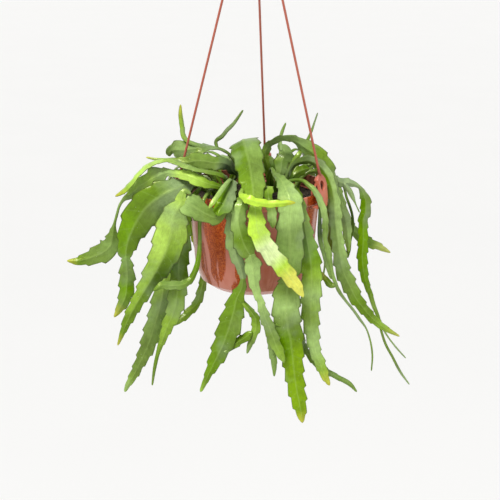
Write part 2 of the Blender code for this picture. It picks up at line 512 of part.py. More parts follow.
def make_hook(finish):
    """A bar bent into a hook: up from the hub, then round a bend that is open on one side."""
    centre = HOOK_SEAT - HOOK_BEND_RADIUS + HOOK_WIRE_RADIUS
    path = [(0.0, HUB_TOP - 2.0), (0.0, centre - HOOK_BEND_RADIUS - 1.0)]
    steps = 14
    for k in range(steps + 1):
        angle = math.radians(-80.0 + (HOOK_END_ANGLE + 80.0) * k / steps)
        path.append((HOOK_BEND_RADIUS * math.cos(angle), centre + HOOK_BEND_RADIUS * math.sin(angle)))
    path = np.array(path)
    sides = 8
    points, faces = [], []
    for index, (x, z) in enumerate(path):
        before, after = path[max(index - 1, 0)], path[min(index + 1, len(path) - 1)]
        along = (after - before) / np.linalg.norm(after - before)
        normal = np.array((-along[1], 0.0, along[0]))
        for k in range(sides):
            angle = 2 * math.pi * (k + 0.5) / sides
            offset = math.cos(angle) * normal + math.sin(angle) * np.array((0.0, 1.0, 0.0))
            points.append(np.array((x, 0.0, z)) + HOOK_WIRE_RADIUS * offset)
    for ring in range(len(path) - 1):
        low, high = ring * sides, (ring + 1) * sides
        faces += [[low + k, high + k, high + (k + 1) % sides, low + (k + 1) % sides] for k in range(sides)]
    faces.append(list(range(sides)))
    faces.append([(len(path) - 1) * sides + k for k in range(sides)][::-1])
    return mesh_object("hook", points, faces, finish)


def make_hanger(finish):
    hub_profile = [
        (0.0, HUB_BOTTOM),
        (HUB_RADIUS - 1.5, HUB_BOTTOM),
        (HUB_RADIUS, HUB_BOTTOM + 1.5),
        (HUB_RADIUS, HUB_TOP - 5.0),
        (3.2, HUB_TOP),
        (0.0, HUB_TOP),
    ]
    hanger = turned("hanger", hub_profile, 16, finish)
    pieces = [make_hook(finish)]
    for azimuth in STRAND_AZIMUTHS:
        foot, top = (placed(azimuth, radius, 0.0, height) for radius, height in (STRAND_FOOT, STRAND_TOP))
        pieces.append(rod("strand", foot, top, STRAND_RADIUS, 8, finish))
        pieces.append(make_clip("clip", azimuth, finish))
    combine(hanger, pieces, "UNION")
    return hanger


def drawn(rows):
    """Rows of the table as (x, y, z, width, turn, facing x, y, z)."""
    result = []
    for across, up, back, width, turn in rows:
        ray = across * RIGHT + (RIM_RISE + up) * UPWARD + RIM_DISTANCE * FORWARD
        place = EYE + ray * (back - EYE[1]) / ray[1]
        result.append([*place, width, turn, *(-ray / np.linalg.norm(ray))])
    return result


def stalk(root, facing):
    """The rooted end of a shoot, straight up through its hole in the soil."""
    x, y = root
    heights = (SOIL_TOP - HOLE_DEPTH + FIT_GAP, SOIL_TOP - 7.0, SOIL_TOP + 4.5)
    return [[x, y, height, STALK_WIDTH, 0.0, *facing] for height in heights]


def spilling(azimuth, root_radius, rise, reach, drop, width, twist, drift):
    """A shoot that rises from the soil, arches over the rim and hangs down outside the pot."""
    shape = [
        (root_radius + 10.0, 0.55 * rise, 0.22, 0.0),
        (COLLAR_RADIUS - 8.0, rise, 0.45, 0.0),
        (COLLAR_RADIUS + 8.0, 0.8 * rise, 0.6, 0.0),
        (reach - 5.0, 0.15 * rise - 0.15 * drop, 1.0, 0.2),
        (reach, -0.4 * drop, 0.95, 0.45),
        (reach + 1.0, -0.68 * drop, 0.75, 0.7),
        (reach - 3.0, -0.9 * drop, 0.4, 0.9),
        (reach - 6.0, -drop, 0.1, 1.0),
    ]
    rows = []
    for radius, height, fullness, share in shape:
        turn = math.radians(azimuth + drift * share)
        x, y = math.cos(turn), math.sin(turn)
        rows.append([x * radius, y * radius, height, max(width * fullness, 2.0), twist * share, x, y, 0.0])
    x, y = rows[0][5:7]
    return stalk((x * root_radius, y * root_radius), rows[0][5:8]) + rows


def smooth(rows, step):
    """The rows resampled every step along a smooth curve through them, with the length along it first."""
    rows = np.array(rows, float)
    knots = np.concatenate([[0.0], np.cumsum(np.linalg.norm(np.diff(rows[:, :3], axis=0), axis=1))])
    slopes = np.gradient(rows, knots, axis=0)
    places = np.arange(0.0, knots[-1], step * 0.25)
    places = np.append(places, knots[-1])
    index = np.clip(np.searchsorted(knots, places, side="right") - 1, 0, len(knots) - 2)
    span = (knots[index + 1] - knots[index])[:, None]
    part = (places[:, None] - knots[index][:, None]) / span
    curve = (
        (2 * part**3 - 3 * part**2 + 1) * rows[index]
        + (part**3 - 2 * part**2 + part) * span * slopes[index]
        + (-2 * part**3 + 3 * part**2) * rows[index + 1]
        + (part**3 - part**2) * span * slopes[index + 1]
    )
    length = np.concatenate([[0.0], np.cumsum(np.linalg.norm(np.diff(curve[:, :3], axis=0), axis=1))])
    even = np.linspace(0.0, length[-1], max(8, round(length[-1] / step)) + 1)
    columns = [np.interp(even, length, curve[:, k]) for k in range(curve.shape[1])]
    return np.column_stack([even, *columns])


def unit(vectors):
    return vectors / np.maximum(np.linalg.norm(vectors, axis=-1, keepdims=True), 1e-9)


def frames(curve):
    """Along, across and normal directions of a blade at every sample of its curve."""
    along = unit(np.gradient(curve[:, 1:4], axis=0))
    across = np.cross(along, unit(curve[:, 6:9]))
    running = across[len(across) // 2].copy()
    for order in (range(len(across) // 2, len(across)), range(len(across) // 2, -1, -1)):
        running = across[len(across) // 2].copy()
        for k in order:
            if across[k] @ running < 0:
                across[k] = -across[k]
            running = 0.8 * running + across[k]
    reach = 6
    padded = np.pad(across, ((reach, reach), (0, 0)), mode="edge")
    across = sum(padded[k : k + len(across)] for k in range(2 * reach + 1))
    across = unit(across - along * np.sum(across * along, axis=1, keepdims=True))
    turn = np.radians(curve[:, 5])[:, None]
    across = across * np.cos(turn) + np.cross(along, across) * np.sin(turn)
    return along, across, np.cross(along, across)


def blade(name, rows, finish):
    """A flat toothed stem along the rows, with blunt edges and a raised midrib on both faces."""
    curve = smooth(rows, 1.5)
    along, across, normal = frames(curve)
    table = np.column_stack([curve, along, across, normal])
    length = curve[-1, 0]
    stations, teeth = [0.0], [0]
    while stations[-1] < length - 0.35 * TOOTH_PITCH:
        width = np.interp(stations[-1], curve[:, 0], curve[:, 4])
        plain = width < TOOTHLESS_WIDTH
        pitch = TOOTH_PITCH + TOOTH_PITCH_PER_WIDTH * width
        stations.append(stations[-1] + (PLAIN_STEP if plain else pitch / 2))
        teeth.append(0 if plain else (1 if teeth[-1] <= 0 else -1))
    stations[-1] = length
    teeth[-1] = 0
    points, faces = [], []
    for station, tooth in zip(stations, teeth):
        at = np.array([np.interp(station, curve[:, 0], table[:, k]) for k in range(table.shape[1])])
        centre, width = at[1:4], max(at[4], 1.2)
        ahead, sideways, up = unit(at[9:12]), unit(at[12:15]), unit(at[15:18])
        height = min(TOOTH_HEIGHT_MOST, TOOTH_HEIGHT_PER_WIDTH * width) if width > TOOTHLESS_WIDTH else 0.0
        lean = ahead * TOOTH_LEAN * (TOOTH_PITCH + TOOTH_PITCH_PER_WIDTH * width) / 2
        edge = EDGE_THICKNESS / 2
        rib = RIB_THICKNESS / 2 if width > 4.0 else RIB_THICKNESS / 2 * max(width / 4.0, 0.45)
        fold = FOLD * width
        left = -sideways * (width / 2 + tooth * height) + lean * max(tooth, 0)
        right = sideways * (width / 2 - tooth * height) + lean * max(-tooth, 0)
        points += [
            centre + left + up * (fold + edge),
            centre + up * rib,
            centre + right + up * (fold + edge),
            centre + right + up * (fold - edge),
            centre - up * rib,
            centre + left + up * (fold - edge),
        ]
    for ring in range(len(stations) - 1):
        low, high = 6 * ring, 6 * (ring + 1)
        for first, second in ((0, 1), (1, 2), (2, 3), (5, 0)):
            faces.append([low + first, high + second, low + second])
            faces.append([low + first, high + first, high + second])
        for first, second in ((5, 4), (4, 3)):
            faces.append([low + first, low + second, high + second])
            faces.append([low + first, high + second, high + first])
    last = 6 * (len(stations) - 1)
    faces += [[0, 1, 4, 5], [1, 2, 3, 4]]
    faces += [[last + 5, last + 4, last + 1, last], [last + 4, last + 3, last + 2, last + 1]]
    return mesh_object(name, points, faces, finish)


def make_shoot(name, root, blades, finish):
    """One rooted shoot with all its branches in one piece."""
    curves, pieces = [], []
    for origin, rows in blades:
        rows = drawn(rows)
        if origin is None:
            rows = stalk(root, rows[0][5:8]) + rows
        else:
            parent, share, side = origin
            curve = curves[parent]
            _, across, _ = frames(curve)
            k = round(share * (len(curve) - 1))
            start = curve[k, 1:4] + across[k] * side * curve[k, 4] / 2
            rows = [[*start, max(3.0, 0.5 * rows[0][3]), 0.0, *rows[0][5:8]]] + rows
        curves.append(smooth(rows, 1.5))
        pieces.append(blade(name if origin is None else name + "_branch", rows, finish))
    if len(pieces) > 1:
        combine(pieces[0], pieces[1:], "UNION")
    return pieces[0]


def main():
    clear_scene()
    terracotta = material("terracotta_plastic", (0.32, 0.07, 0.03), 0.3)
    strand_brown = material("strand_plastic", (0.38, 0.10, 0.05), 0.4)
    earth = material("potting_soil", (0.03, 0.02, 0.012), 0.95)
    leaf_green = material("stem_green", (0.13, 0.28, 0.05), 0.45)
    roots = [root for root, _ in SHOOTS.values()]
    objects = [make_pot(terracotta), make_hanger(strand_brown)]
    for name, (root, blades) in SHOOTS.items():
        objects.append(make_shoot(name, root, blades, leaf_green))
    for name, shape in REAR_SHOOTS.items():
        rows = spilling(*shape)
        roots.append(tuple(rows[0][:2]))
        objects.append(blade(name, rows, leaf_green))
    objects.append(make_soil(earth, roots))
    rim_centre = bpy.data.objects.new("rim_centre", None)
    rim_centre.location = (0.0, 0.0, -HOOK_SEAT * MM)
    bpy.context.scene.collection.objects.link(rim_centre)
    for thing in objects:
        thing.parent = rim_centre


main()
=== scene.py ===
"""Looks for the trailing forest cactus in its hanging pot.

Lengths in the tables are millimetres. Heights are measured from the top of the pot's rim, and +Y is behind
the pot. The hook's seat is at the origin, so every piece is moved down by the hook's height above the rim.
"""

import math
import random

import bmesh
import bpy
import numpy as np
from mathutils import Euler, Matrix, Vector
from mathutils import noise as noise_vector

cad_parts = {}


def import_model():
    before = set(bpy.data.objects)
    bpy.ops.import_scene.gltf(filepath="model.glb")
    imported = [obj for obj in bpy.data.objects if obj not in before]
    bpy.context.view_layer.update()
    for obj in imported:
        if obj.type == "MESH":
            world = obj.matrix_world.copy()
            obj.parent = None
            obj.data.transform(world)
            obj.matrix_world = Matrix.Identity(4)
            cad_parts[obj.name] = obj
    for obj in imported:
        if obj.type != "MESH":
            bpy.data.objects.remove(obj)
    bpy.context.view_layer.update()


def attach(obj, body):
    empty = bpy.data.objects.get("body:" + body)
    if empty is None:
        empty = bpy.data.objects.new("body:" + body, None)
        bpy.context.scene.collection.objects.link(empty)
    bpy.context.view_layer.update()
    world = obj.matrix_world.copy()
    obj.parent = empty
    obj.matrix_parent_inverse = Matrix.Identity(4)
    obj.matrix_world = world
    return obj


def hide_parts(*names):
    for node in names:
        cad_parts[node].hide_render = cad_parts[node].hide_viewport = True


MM = 0.001

# Pot
COLLAR_RADIUS = 80.0
COLLAR_HEIGHT = 10.0
COLLAR_THICKNESS = 2.5
COLLAR_INSIDE = COLLAR_RADIUS - COLLAR_THICKNESS
WALL_THICKNESS = 2.0
WALL = ((72.0, -11.4), (69.4, -42.0), (66.0, -86.0), (60.4, -103.5))
BASE_RADIUS = 50.0
BASE_HOLLOW = 1.4
POT_HEIGHT = 111.0
POT_SIDES = 144
POT_EDGE = 0.35
SHARP_ANGLE = math.radians(50)
BEVEL_ANGLE = math.radians(20)
BEVEL_SEGMENTS = 3
FLOOR_THICKNESS = 2.4
DRAIN_RADIUS = 3.0
DRAIN_CIRCLE = 32.0
DRAIN_COUNT = 5
DRAIN_SIDES = 24
# Where the pot's painted reflection is left off, showing plain plastic: azimuth from the front, and half
# widths at the foot and at the top
HAZE_GAPS = (
    (-0.67, 0.02, 0.29), (-0.30, 0.08, 0.01), (-1.0, 0.05, 0.03), (0.9, 0.10, 0.16), (2.4, 0.05, 0.2)
)

# Soil
SOIL_TOP = -12.0
SOIL_CROWN = 2.5
HOLE_DEPTH = 15.0
FIT_GAP = 0.3
STALK_WIDTH = 4.0
SOIL_RADIUS = 69.2
SOIL_RINGS, SOIL_SIDES = ((34, 160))
SOIL_FLANK = ((68.7, -20.0), (65.0, -60.0), (61.0, -95.0), (48.0, -106.8))
CRUMBS = 520
SEED = 11

# Hanger
STRAND_AZIMUTHS = (-34.5, 81.0, 199.5)
STRAND_RADIUS = 1.25
STRAND_FOOT = (83.0, 21.0)
STRAND_TOP = (4.0, 309.0)
STRAND_POINTS = 24
STRAND_SIDES = 16
STRAND_FLARE = 0.5
HUB_RADIUS = 6.5
HUB_NECK = 3.2
HUB_BOTTOM = 304.0
HUB_TOP = 316.0
HUB_SIDES = 48
HUB_EDGE = 0.5
HOOK_SEAT = 350.0
HOOK_BEND_RADIUS = 12.0
HOOK_WIRE_RADIUS = 2.3
HOOK_ANGLES = (-80.0, 205.0)
HOOK_STEPS = 48
HOOK_SIDES = 20
HOOK_TIP = (0.94, 0.75, 0.4)
CLIP_WIDTH = 15.0
CLIP_INNER_GAP = 1.2
CLIP_EDGE = 0.45
CLIP_SHOULDER = ((2.2, 23.8), (8.5, 23.8), (8.5, 16.0))
CLIP_INNER_SIDE = ((2.6, 26.0), (9.0, 26.0), (9.0, -12.0), (2.6, -12.0))
CLIP_CUT_START = 66.0
CLIP_CUT_END = 98.0
CLIP_INNER_REACH = 80.8
CLIP_HOLE_HALF = (3.9, 5.2)
CLIP_HOLE_MIDDLE = (-1.4, 11.0)
CLIP_HOLE_SIDES = 36

# Eye point of the front view that the stems were drawn on, and the slope of its line of sight
EYE = np.array((0.0, -1000.0, 242.0))
LOOK_DOWN = math.radians(17.8)
RIGHT = np.array((1.0, 0.0, 0.0))
FORWARD = np.array((0.0, math.cos(LOOK_DOWN), -math.sin(LOOK_DOWN)))
UPWARD = np.array((0.0, math.sin(LOOK_DOWN), math.cos(LOOK_DOWN)))
RIM_DISTANCE = float(-EYE @ FORWARD)
RIM_RISE = float(-EYE @ UPWARD)

# Camera: the photograph is a square, and the pot's axis is a little right of its middle
PHOTO_SIZE = 500.0
FOCAL_PIXELS = 933.0
SENSOR_WIDTH = 36.0
AXIS_OFFSET = 4.5
CAMERA_DOWN = math.radians(17.62)

# Blades. The shares run from the midrib, at 0, to a margin, at 1
CURVE_STEP = 1.5
TOOTH_PITCH = 10.5
TOOTH_PITCH_PER_WIDTH = 0.32
TOOTH_HEIGHT_PER_WIDTH = 0.07
TOOTH_HEIGHT_MOST = 1.3
TOOTH_CURVE = 1.2
TOOTHLESS_WIDTH = 6.0
PLAIN_STEP = 13.0
EDGE_THICKNESS = 0.8
RIB_THICKNESS = 2.4
RIB_REACH = 1.7
FOLD = 0.07
SECTION_STEP = 1.5
TOOTH_PLACE = 0.86
TOOTH_DARKENING = np.array((0.70, 0.82, 0.70))
RUFFLE_PER_WIDTH = 0.03
RUFFLE_MOST = 0.7
MARGIN_SHARE = 0.9
TIP_SECTIONS = 8
HALF_ACROSS = (0.08, 0.16, 0.28, 0.46, 0.66, 0.84, 0.955)
ACROSS = (*(-share for share in HALF_ACROSS[::-1]), 0.0, *HALF_ACROSS)

# Studio, in metres
FLOOR_HEIGHT = -1.50
FLOOR_HALF = 30.0
HORIZON_STRENGTH = 0.90
OVERHEAD_STRENGTH = 0.22
SUN_POWER = 2.55
SUN_SPREAD = math.radians(14)
SUN_ELEVATION = math.radians(56)
SUN_AZIMUTH = math.radians(-125)
LIGHT_TARGET = Vector((0.0, 0.0, -0.42))
TOP_POWER = 7.0
SIDE_POWER = 3.5

# Each shoot has a root on the soil, as (x, y), and blades. The first blade stands on the root, and each of
# the others says last where it grows: from which blade, where along it, and how far towards an edge. Before
# that come the blade's greens and its rows. The greens stand at even steps from its foot to its tip, with a
# slash where its halves differ. Besides the stems' own colour the greens hold painted light: painted shade
# near the crown and on shaded faces, painted highlights at bends, and halves that differ as the painted lit
# and shaded sides of a folded blade. A row is (across, up, width, back, turn): a point drawn on the front
# view, how wide the blade is there, how far the point lies behind the pot's axis, and how many degrees the
# blade turns its face from the eye. If left out, the depth stays as in the row before, and the turn is 0.
AT_TIP = (0, 0.98, 0)
SHOOTS = {
    "stem_centre_arch": ((-6, 34), [
        ("deep leaf leaf leaf/pale leaf/pale leaf/sage leaf/sage fresh", [
        (-9, 37, 10, 24), (-12, 49, 31, -4), (-10, 42, 33, -26), (-7, 30, 32, -40), (-4, 14, 28, -58),
        (-2, 0, 26, -72), (-1, -11, 21, -84), (-1, -20, 14, -92)]),
        ("fresh fresh lime lime milk milk lime yellow yellow yellow", [
        (1, -30, 15, -98), (2, -41, 18, -101), (4, -52, 20, -102), (9, -62, 20, -103), (18, -76, 19, -104),
        (30, -90, 18, -105), (42, -106, 15, -106), (50, -117, 9), (54, -124, 2)], AT_TIP),
        ("fresh bright lime lime lime lime lime straw", [
        (-13, -13, 7, -101), (-8, -16, 10, -106), (1, -19, 9, -108), (14, -21, 8, -109), (28, -21, 7, -110),
        (38, -20, 5), (45, -20, 2)], (0, 0.9, 0.9))]),
    "stem_front_left": ((-14, -18), [
        ("deep deep deep leaf leaf mint/pale leaf sage", [
        (-9, 2, 6, -50), (-11, -10, 9, -72), (-14, -21, 14, -86), (-18, -37, 16, -91), (-15, -55, 17, -93),
        (-10, -69, 22, -94), (-3, -80, 17)]),
        ("pale mint mint mint mint pale sage sage fresh fresh", [
        (-2, -88, 18, -94), (-1, -99, 15), (1, -114, 10), (7, -130, 8, -95), (11, -144, 11, -96),
        (18, -161, 12, -97), (24, -177, 12, -98), (30, -189, 8), (33, -196, 2)], AT_TIP),
        ("pale pale leaf", [
        (17, -172, 6, -93), (20, -185, 8, -90), (22, -199, 6), (22, -211, 2)], (1, 0.62, 0.3))]),
    "stem_front_left_low": ((-20, -30), [
        ("deep deep leaf leaf sage frost pale frost frost", [
        (-19, -7, 5, -54), (-22, -10, 5, -72), (-24, -20, 6, -83), (-24, -35, 13, -87), (-24, -51, 16),
        (-23, -66, 16), (-19, -81, 13), (-14, -95, 9), (-12, -106, 7)]),
        ("sage leaf leaf leaf/sage leaf leaf clear leaf fresh", [
        (-14, -114, 10, -87), (-19, -124, 16, -88), (-22, -137, 21, -89), (-27, -155, 25, -90),
        (-34, -175, 22, -91), (-43, -194, 16), (-49, -206, 10), (-59, -228, 3)], AT_TIP),
        ("leaf fresh/leaf leaf fresh sage pale", [
        (-12, -130, 5, -87), (-5, -138, 7, -86), (1, -147, 9), (2, -157, 10), (-1, -167, 8), (-5, -177, 6),
        (-8, -186, 2)], (1, 0.14, 0.5)),
        ("leaf leaf leaf", [
        (-24, -177, 9, -88), (-16, -172, 9), (-7, -166, 9), (-2, -162, 5, -87)], (1, 0.62, -0.5))]),
    "stem_left_ribbons": ((-31, -24), [
        ("leaf leaf deep deep/frost deep/frost clear/frost clear", [
        (-23, 4, 9, -50, 15), (-27, -5, 14, -70, 15), (-31, -15, 19, -84, 15), (-35, -24, 20, -92, 15),
        (-39, -30, 13, -97, 15), (-40, -35, 4, -99, 15)]),
        ("leaf sage leaf sage pale pale bright bright bright fresh straw", [
        (-37, 11, 8, -58, 55), (-50, 14, 9, -62, 60), (-60, 16, 9, -62, 62), (-71, 19, 9, -62, 55),
        (-82, 23, 9, -58, 55), (-93, 27, 9, -54, 58), (-104, 26, 9, -50, 62), (-113, 23, 9, -47, 60),
        (-121, 18, 9, -46, 60), (-129, 10, 9, -46, 60), (-136, 1, 9, -46, 55), (-145, -8, 7, -46, 50),
        (-153, -13, 2, -46, 50)], (0, 0.3, 0)),
        ("deep leaf leaf leaf fresh bright bright mint mint bright bright bright/mint mint pale sage sage "
         "pale sage sage leaf straw", [
        (-40, -2, 7, -64, 15), (-52, 1, 10, -66, 20), (-60, 4, 14, -66, 20), (-68, 8, 13, -64, 15),
        (-78, 11, 11, -60, 10), (-87, 12, 9, -56, 5), (-96, 13, 9, -50), (-107, 9, 21, -45),
        (-118, 3, 17, -42), (-128, -3, 14, -40), (-136, -11, 10), (-144, -17, 4), (-148, -23, 3),
        (-151, -33, 3, -41), (-154, -45, 4, -42), (-156, -57, 13, -44), (-158, -67, 21), (-167, -75, 22),
        (-179, -80, 17), (-193, -84, 10), (-206, -84, 2)], (0, 0.3, 0)),
        ("mint pale mint bright", [
        (-27, 5, 4, -64), (-34, -3, 5, -82), (-41, -13, 5, -95), (-48, -23, 4, -101), (-50, -26, 2, -102)],
        (0, 0.34, 0.5))]),
    "stem_left_saddle": ((-36, -28), [
        # The dark greens near its root are painted shade, where it faces the eye from under the crown.
        ("dark dark deep deep leaf sage sage sage pale mint", [
        (-34, -14, 4, -52), (-32, -11, 5, -70), (-32, -20, 6, -84), (-35, -32, 9, -91),
        (-43, -36, 15, -92, 5), (-52, -33, 18, -92, 10), (-61, -28, 22, -92, 15), (-69, -23, 25, -92, 10),
        (-75, -19, 25, -91), (-80, -15, 20, -89)]),
        ("pale bright mint bright bright/fresh bright/leaf fresh/deep fresh/deep fresh/leaf fresh/leaf leaf "
         "leaf straw", [
        (-77, -7, 6, -89), (-80, -13, 10, -91), (-81, -20, 14, -92), (-85, -28, 22, -91),
        (-88, -35, 28, -89), (-90, -44, 32, -87), (-92, -55, 35, -85), (-95, -66, 34, -84),
        (-101, -81, 30, -82), (-111, -100, 24, -80), (-121, -117, 18, -78), (-130, -132, 14, -77),
        (-138, -147, 12, -76), (-144, -161, 7, -75), (-150, -177, 2, -74)], (0, 0.97, 0.75))]),
    "stem_left_hooked": ((-42, -36), [
        ("leaf leaf sage sage leaf sage clear leaf pale leaf", [
        (-50, -8, 4, -62), (-56, -18, 4, -71), (-60, -40, 4, -73), (-60, -62, 4), (-61, -78, 5, -74),
        (-64, -92, 6, -75), (-69, -103, 7, -76), (-76, -109, 9, -80), (-90, -111, 10, -86),
        (-102, -111, 8, -90), (-111, -117, 2, -92)])]),
    "stem_left_broad_front": ((-38, -12), [
        ("deep leaf leaf leaf leaf deep leaf fresh fresh leaf sage", [
        (-54, -2, 4, -34), (-63, -8, 5, -50), (-69, -18, 8, -60), (-75, -31, 12, -63), (-78, -48, 17, -64),
        (-80, -67, 20), (-83, -86, 21), (-83, -106, 19), (-85, -122, 20), (-88, -139, 18),
        (-95, -155, 14, -63), (-100, -169, 9, -62), (-105, -183, 5), (-109, -200, 4), (-112, -221, 2)])]),
    "stem_left_broad_rear": ((-50, -16), [
        ("leaf sage fresh fresh fresh bright sage pale sage sage fresh", [
        (-61, -3, 4, -28), (-68, -3, 5, -42), (-77, -10, 8, -51), (-84, -28, 12, -54), (-89, -48, 15),
        (-92, -67, 18), (-96, -86, 20), (-99, -106, 20), (-102, -128, 22), (-107, -147, 21, -53),
        (-113, -166, 20), (-120, -185, 16, -52), (-127, -199, 12), (-133, -211, 10, -51), (-139, -221, 6),
        (-142, -228, 3)])]),
    "stem_left_shield": ((-46, -2), [
        ("leaf leaf milk mint/frost frost frost leaf/frost leaf/sage clear/leaf clear/leaf leaf", [
        (-55, 8, 6, -28, 20), (-66, 4, 12, -44, 20), (-78, -1, 20, -58, 20), (-91, -7, 28, -66, 10),
        (-106, -15, 33, -69), (-119, -26, 36), (-130, -42, 34, -67), (-137, -57, 26, -65),
        (-141, -72, 19, -64), (-141, -83, 13)]),
        ("clear sage clear sage straw", [
        (-140, -95, 16, -64), (-140, -110, 17), (-142, -124, 15, -65), (-148, -137, 9, -66),
        (-154, -146, 2)], AT_TIP)]),
    "stem_left_upper": ((-30, 16), [
        ("leaf leaf leaf deep sage frost leaf mint pale", [
        (-20, 24, 6, 8, 50), (-30, 36, 8, 4, 70), (-43, 41, 10, -2, 70), (-56, 41, 16, -6, 50),
        (-68, 39, 20, -8, 20), (-79, 38, 21, -10), (-87, 38, 18, -12, -10), (-92, 37, 13, -12, -35),
        (-93, 31, 5, -10, -40)]),
        ("sage fresh fresh straw", [
        (-77, 52, 6, -6, 30), (-79, 64, 6, -2, 30), (-81, 77, 5, 0, 30), (-81, 88, 2, 2, 30)],
        (0, 0.72, 0)),
        ("sage frost sage", [
        (-42, 47, 5, 0, 45), (-35, 53, 6, 4, 45), (-29, 60, 6, 10, 45), (-23, 66, 5, 14, 45),
        (-18, 73, 4, 17, 45), (-12, 82, 2, 20, 45)], (0, 0.58, 0))]),
    "stem_left_middle": ((-30, 0), [
        # Its dark stretch near the root is painted shade on the blade's underside.
        ("leaf leaf dark dark dark deep/dark sage sage sage sage fresh straw", [
        (-20, 12, 5, -20), (-24, 15, 9, -24), (-28, 21, 12, -30, 10), (-37, 24, 14, -38, 15),
        (-46, 24, 16, -43, 15), (-56, 26, 18, -46, 10), (-65, 26, 17, -47), (-76, 24, 13, -46),
        (-87, 26, 8, -43), (-98, 27, 4, -39), (-109, 28, 3, -36), (-119, 30, 2, -34)])]),
    "stem_front_long": ((14, -12), [
        ("dark deep leaf sage pale mint mint pale pale leaf", [
        (19, 17, 4, -30), (23, 11, 6, -46), (29, 5, 12, -60), (35, -6, 20, -74), (39, -17, 25, -83),
        (40, -28, 26, -87), (40, -39, 27, -88), (39, -50, 28), (39, -64, 29), (39, -81, 28), (37, -97, 26),
        (36, -106, 24)]),
        ("sage/leaf sage mint sage clear/leaf clear/grass grass grass grass grass straw", [
        (36, -117, 27, -88), (35, -133, 29), (36, -152, 30, -89), (40, -172, 28), (42, -188, 24, -90),
        (44, -207, 21), (47, -227, 19), (50, -242, 16), (52, -254, 10), (53, -262, 3)], AT_TIP),
        ("leaf deep deep leaf leaf sage", [
        (51, -165, 6, -82), (54, -176, 7, -68), (60, -187, 7, -62), (68, -197, 7, -60), (81, -206, 7),
        (92, -212, 6), (106, -220, 5), (113, -228, 2)], (1, 0.3, 0.8))]),
    "stem_front_right": ((40, -32), [
        ("dark dark deep leaf fresh clear clear fresh mint fresh mint mint fresh straw", [
        (43, -4, 5, -48), (48, -10, 7, -64), (51, -20, 9, -72), (53, -33, 11, -75), (56, -50, 15, -76),
        (58, -62, 17), (60, -73, 20), (62, -86, 22), (63, -100, 22), (63, -114, 22), (62, -130, 21),
        (62, -147, 19), (64, -165, 16), (67, -183, 13), (73, -198, 12), (78, -211, 9), (83, -221, 3)])]),
    "stem_right_slender": ((30, -16), [
        ("leaf mint pale leaf pale mint sage pale pale pale", [
        (40, 4, 4, -42), (47, 5, 4, -48), (54, 4, 4, -54), (59, 0, 5, -59), (66, -6, 6, -64),
        (72, -17, 7, -68), (76, -28, 7, -69), (78, -39, 7, -68), (78, -50, 7, -67), (78, -61, 5, -66),
        (81, -72, 7), (83, -83, 6, -65), (85, -94, 4, -64), (88, -105, 4, -63), (91, -112, 4, -62)]),
        ("sage frost frost sage leaf", [
        (92, -115, 4, -62), (100, -127, 3, -61), (109, -138, 3, -60), (116, -148, 3, -59),
        (123, -158, 2, -58), (127, -169, 2), (130, -188, 2), (129, -205, 1.5)], AT_TIP),
        ("sage leaf straw", [
        (86, -111, 6, -61), (80, -106, 7, -60), (76, -100, 4, -59), (74, -96, 2, -58)], (0, 0.99, 0)),
        ("deep deep dark dark pale pale mint pale", [
        (72, -26, 3, -63), (72, -39, 4, -60), (72, -52, 5), (73, -64, 5), (76, -75, 4), (79, -86, 4),
        (82, -95, 4), (85, -104, 3)], (0, 0.5, 0))]),
    "stem_right_young": ((40, -14), [
        # Painted shade: the young blade stands dark inside the crown.
        ("dark dark dark deep leaf", [
        (43, 9, 8, -24), (49, 14, 12, -22), (56, 17, 9, -20), (61, 17, 2, -18)])]),
    "stem_right_broad": ((42, 2), [
        # Its halves are painted as the lit and the shaded side of its fold, with painted highlights on the
        # lit one.
        ("deep frost frost sage sage/frost clear/mint sage/mint frost/mint pale/mint mint pale sage leaf "
         "leaf fresh straw", [
        (44, 22, 6, -10), (53, 26, 10, -17, 30), (63, 26, 13, -24, 40), (74, 19, 14, -30, 30),
        (82, 7, 12, -35, 15), (86, -6, 10, -38), (88, -18, 13, -39), (89, -33, 15, -40), (90, -48, 14),
        (92, -64, 14), (95, -82, 16), (98, -96, 17), (105, -111, 17), (112, -125, 15), (121, -137, 12),
        (132, -149, 10), (144, -158, 7), (160, -167, 2)])]),
    "stem_right_arch": ((20, 22), [
        ("dark dark leaf fresh pale mint mint fresh sage frost pale frost mint fresh", [
        (15, 21, 6, 14), (12, 31, 9, 12), (13, 38, 10, 10), (16, 43, 9, 8, 30), (22, 47, 10, 5, 50),
        (29, 50, 13, 2, 60), (38, 50, 15, -1, 60), (47, 47, 17, -4, 55), (56, 41, 19, -6, 40),
        (65, 35, 22, -8, 30), (72, 27, 22, -9, 20), (79, 18, 19, -11, 10), (84, 8, 14, -12),
        (88, -3, 10, -13), (91, -14, 9, -14), (95, -26, 10, -15), (100, -37, 12, -16), (102, -49, 11),
        (103, -61, 8), (104, -74, 3)]),
        ("frost frost frost clear/sage clear/frost clear clear clear clear leaf sage leaf sage sage sage "
         "frost frost", [
        (91, 4, 10, -9), (98, 2, 10, -8), (105, 2, 9), (111, 0, 6), (116, -3, 4), (119, -8, 7),
        (122, -15, 11), (123, -24, 12), (122, -32, 12), (120, -39, 11), (120, -50, 11), (120, -64, 12),
        (119, -79, 12), (120, -92, 11), (123, -107, 8), (128, -121, 6), (132, -134, 5, -9),
        (137, -147, 4, -10), (140, -161, 3, -11), (145, -176, 3, -12), (152, -189, 3), (161, -206, 3),
        (171, -220, 1.5)], (0, 0.64, 0)),
        ("frost sage dark dark deep deep leaf", [
        (99, -3, 3, -5), (102, -15, 3, -3), (105, -23, 3, -2), (108, -34, 3), (108, -50, 4), (105, -61, 5),
        (104, -72, 5), (103, -81, 2)], (1, 0.06, 0)),
        ("frost frost leaf", [
        (102, -3, 5, -11), (105, -7, 6, -13), (108, -13, 5, -15), (111, -20, 2, -17), (116, -31, 1.5, -18)],
        (1, 0.07, 0)),
        ("sage frost frost", [
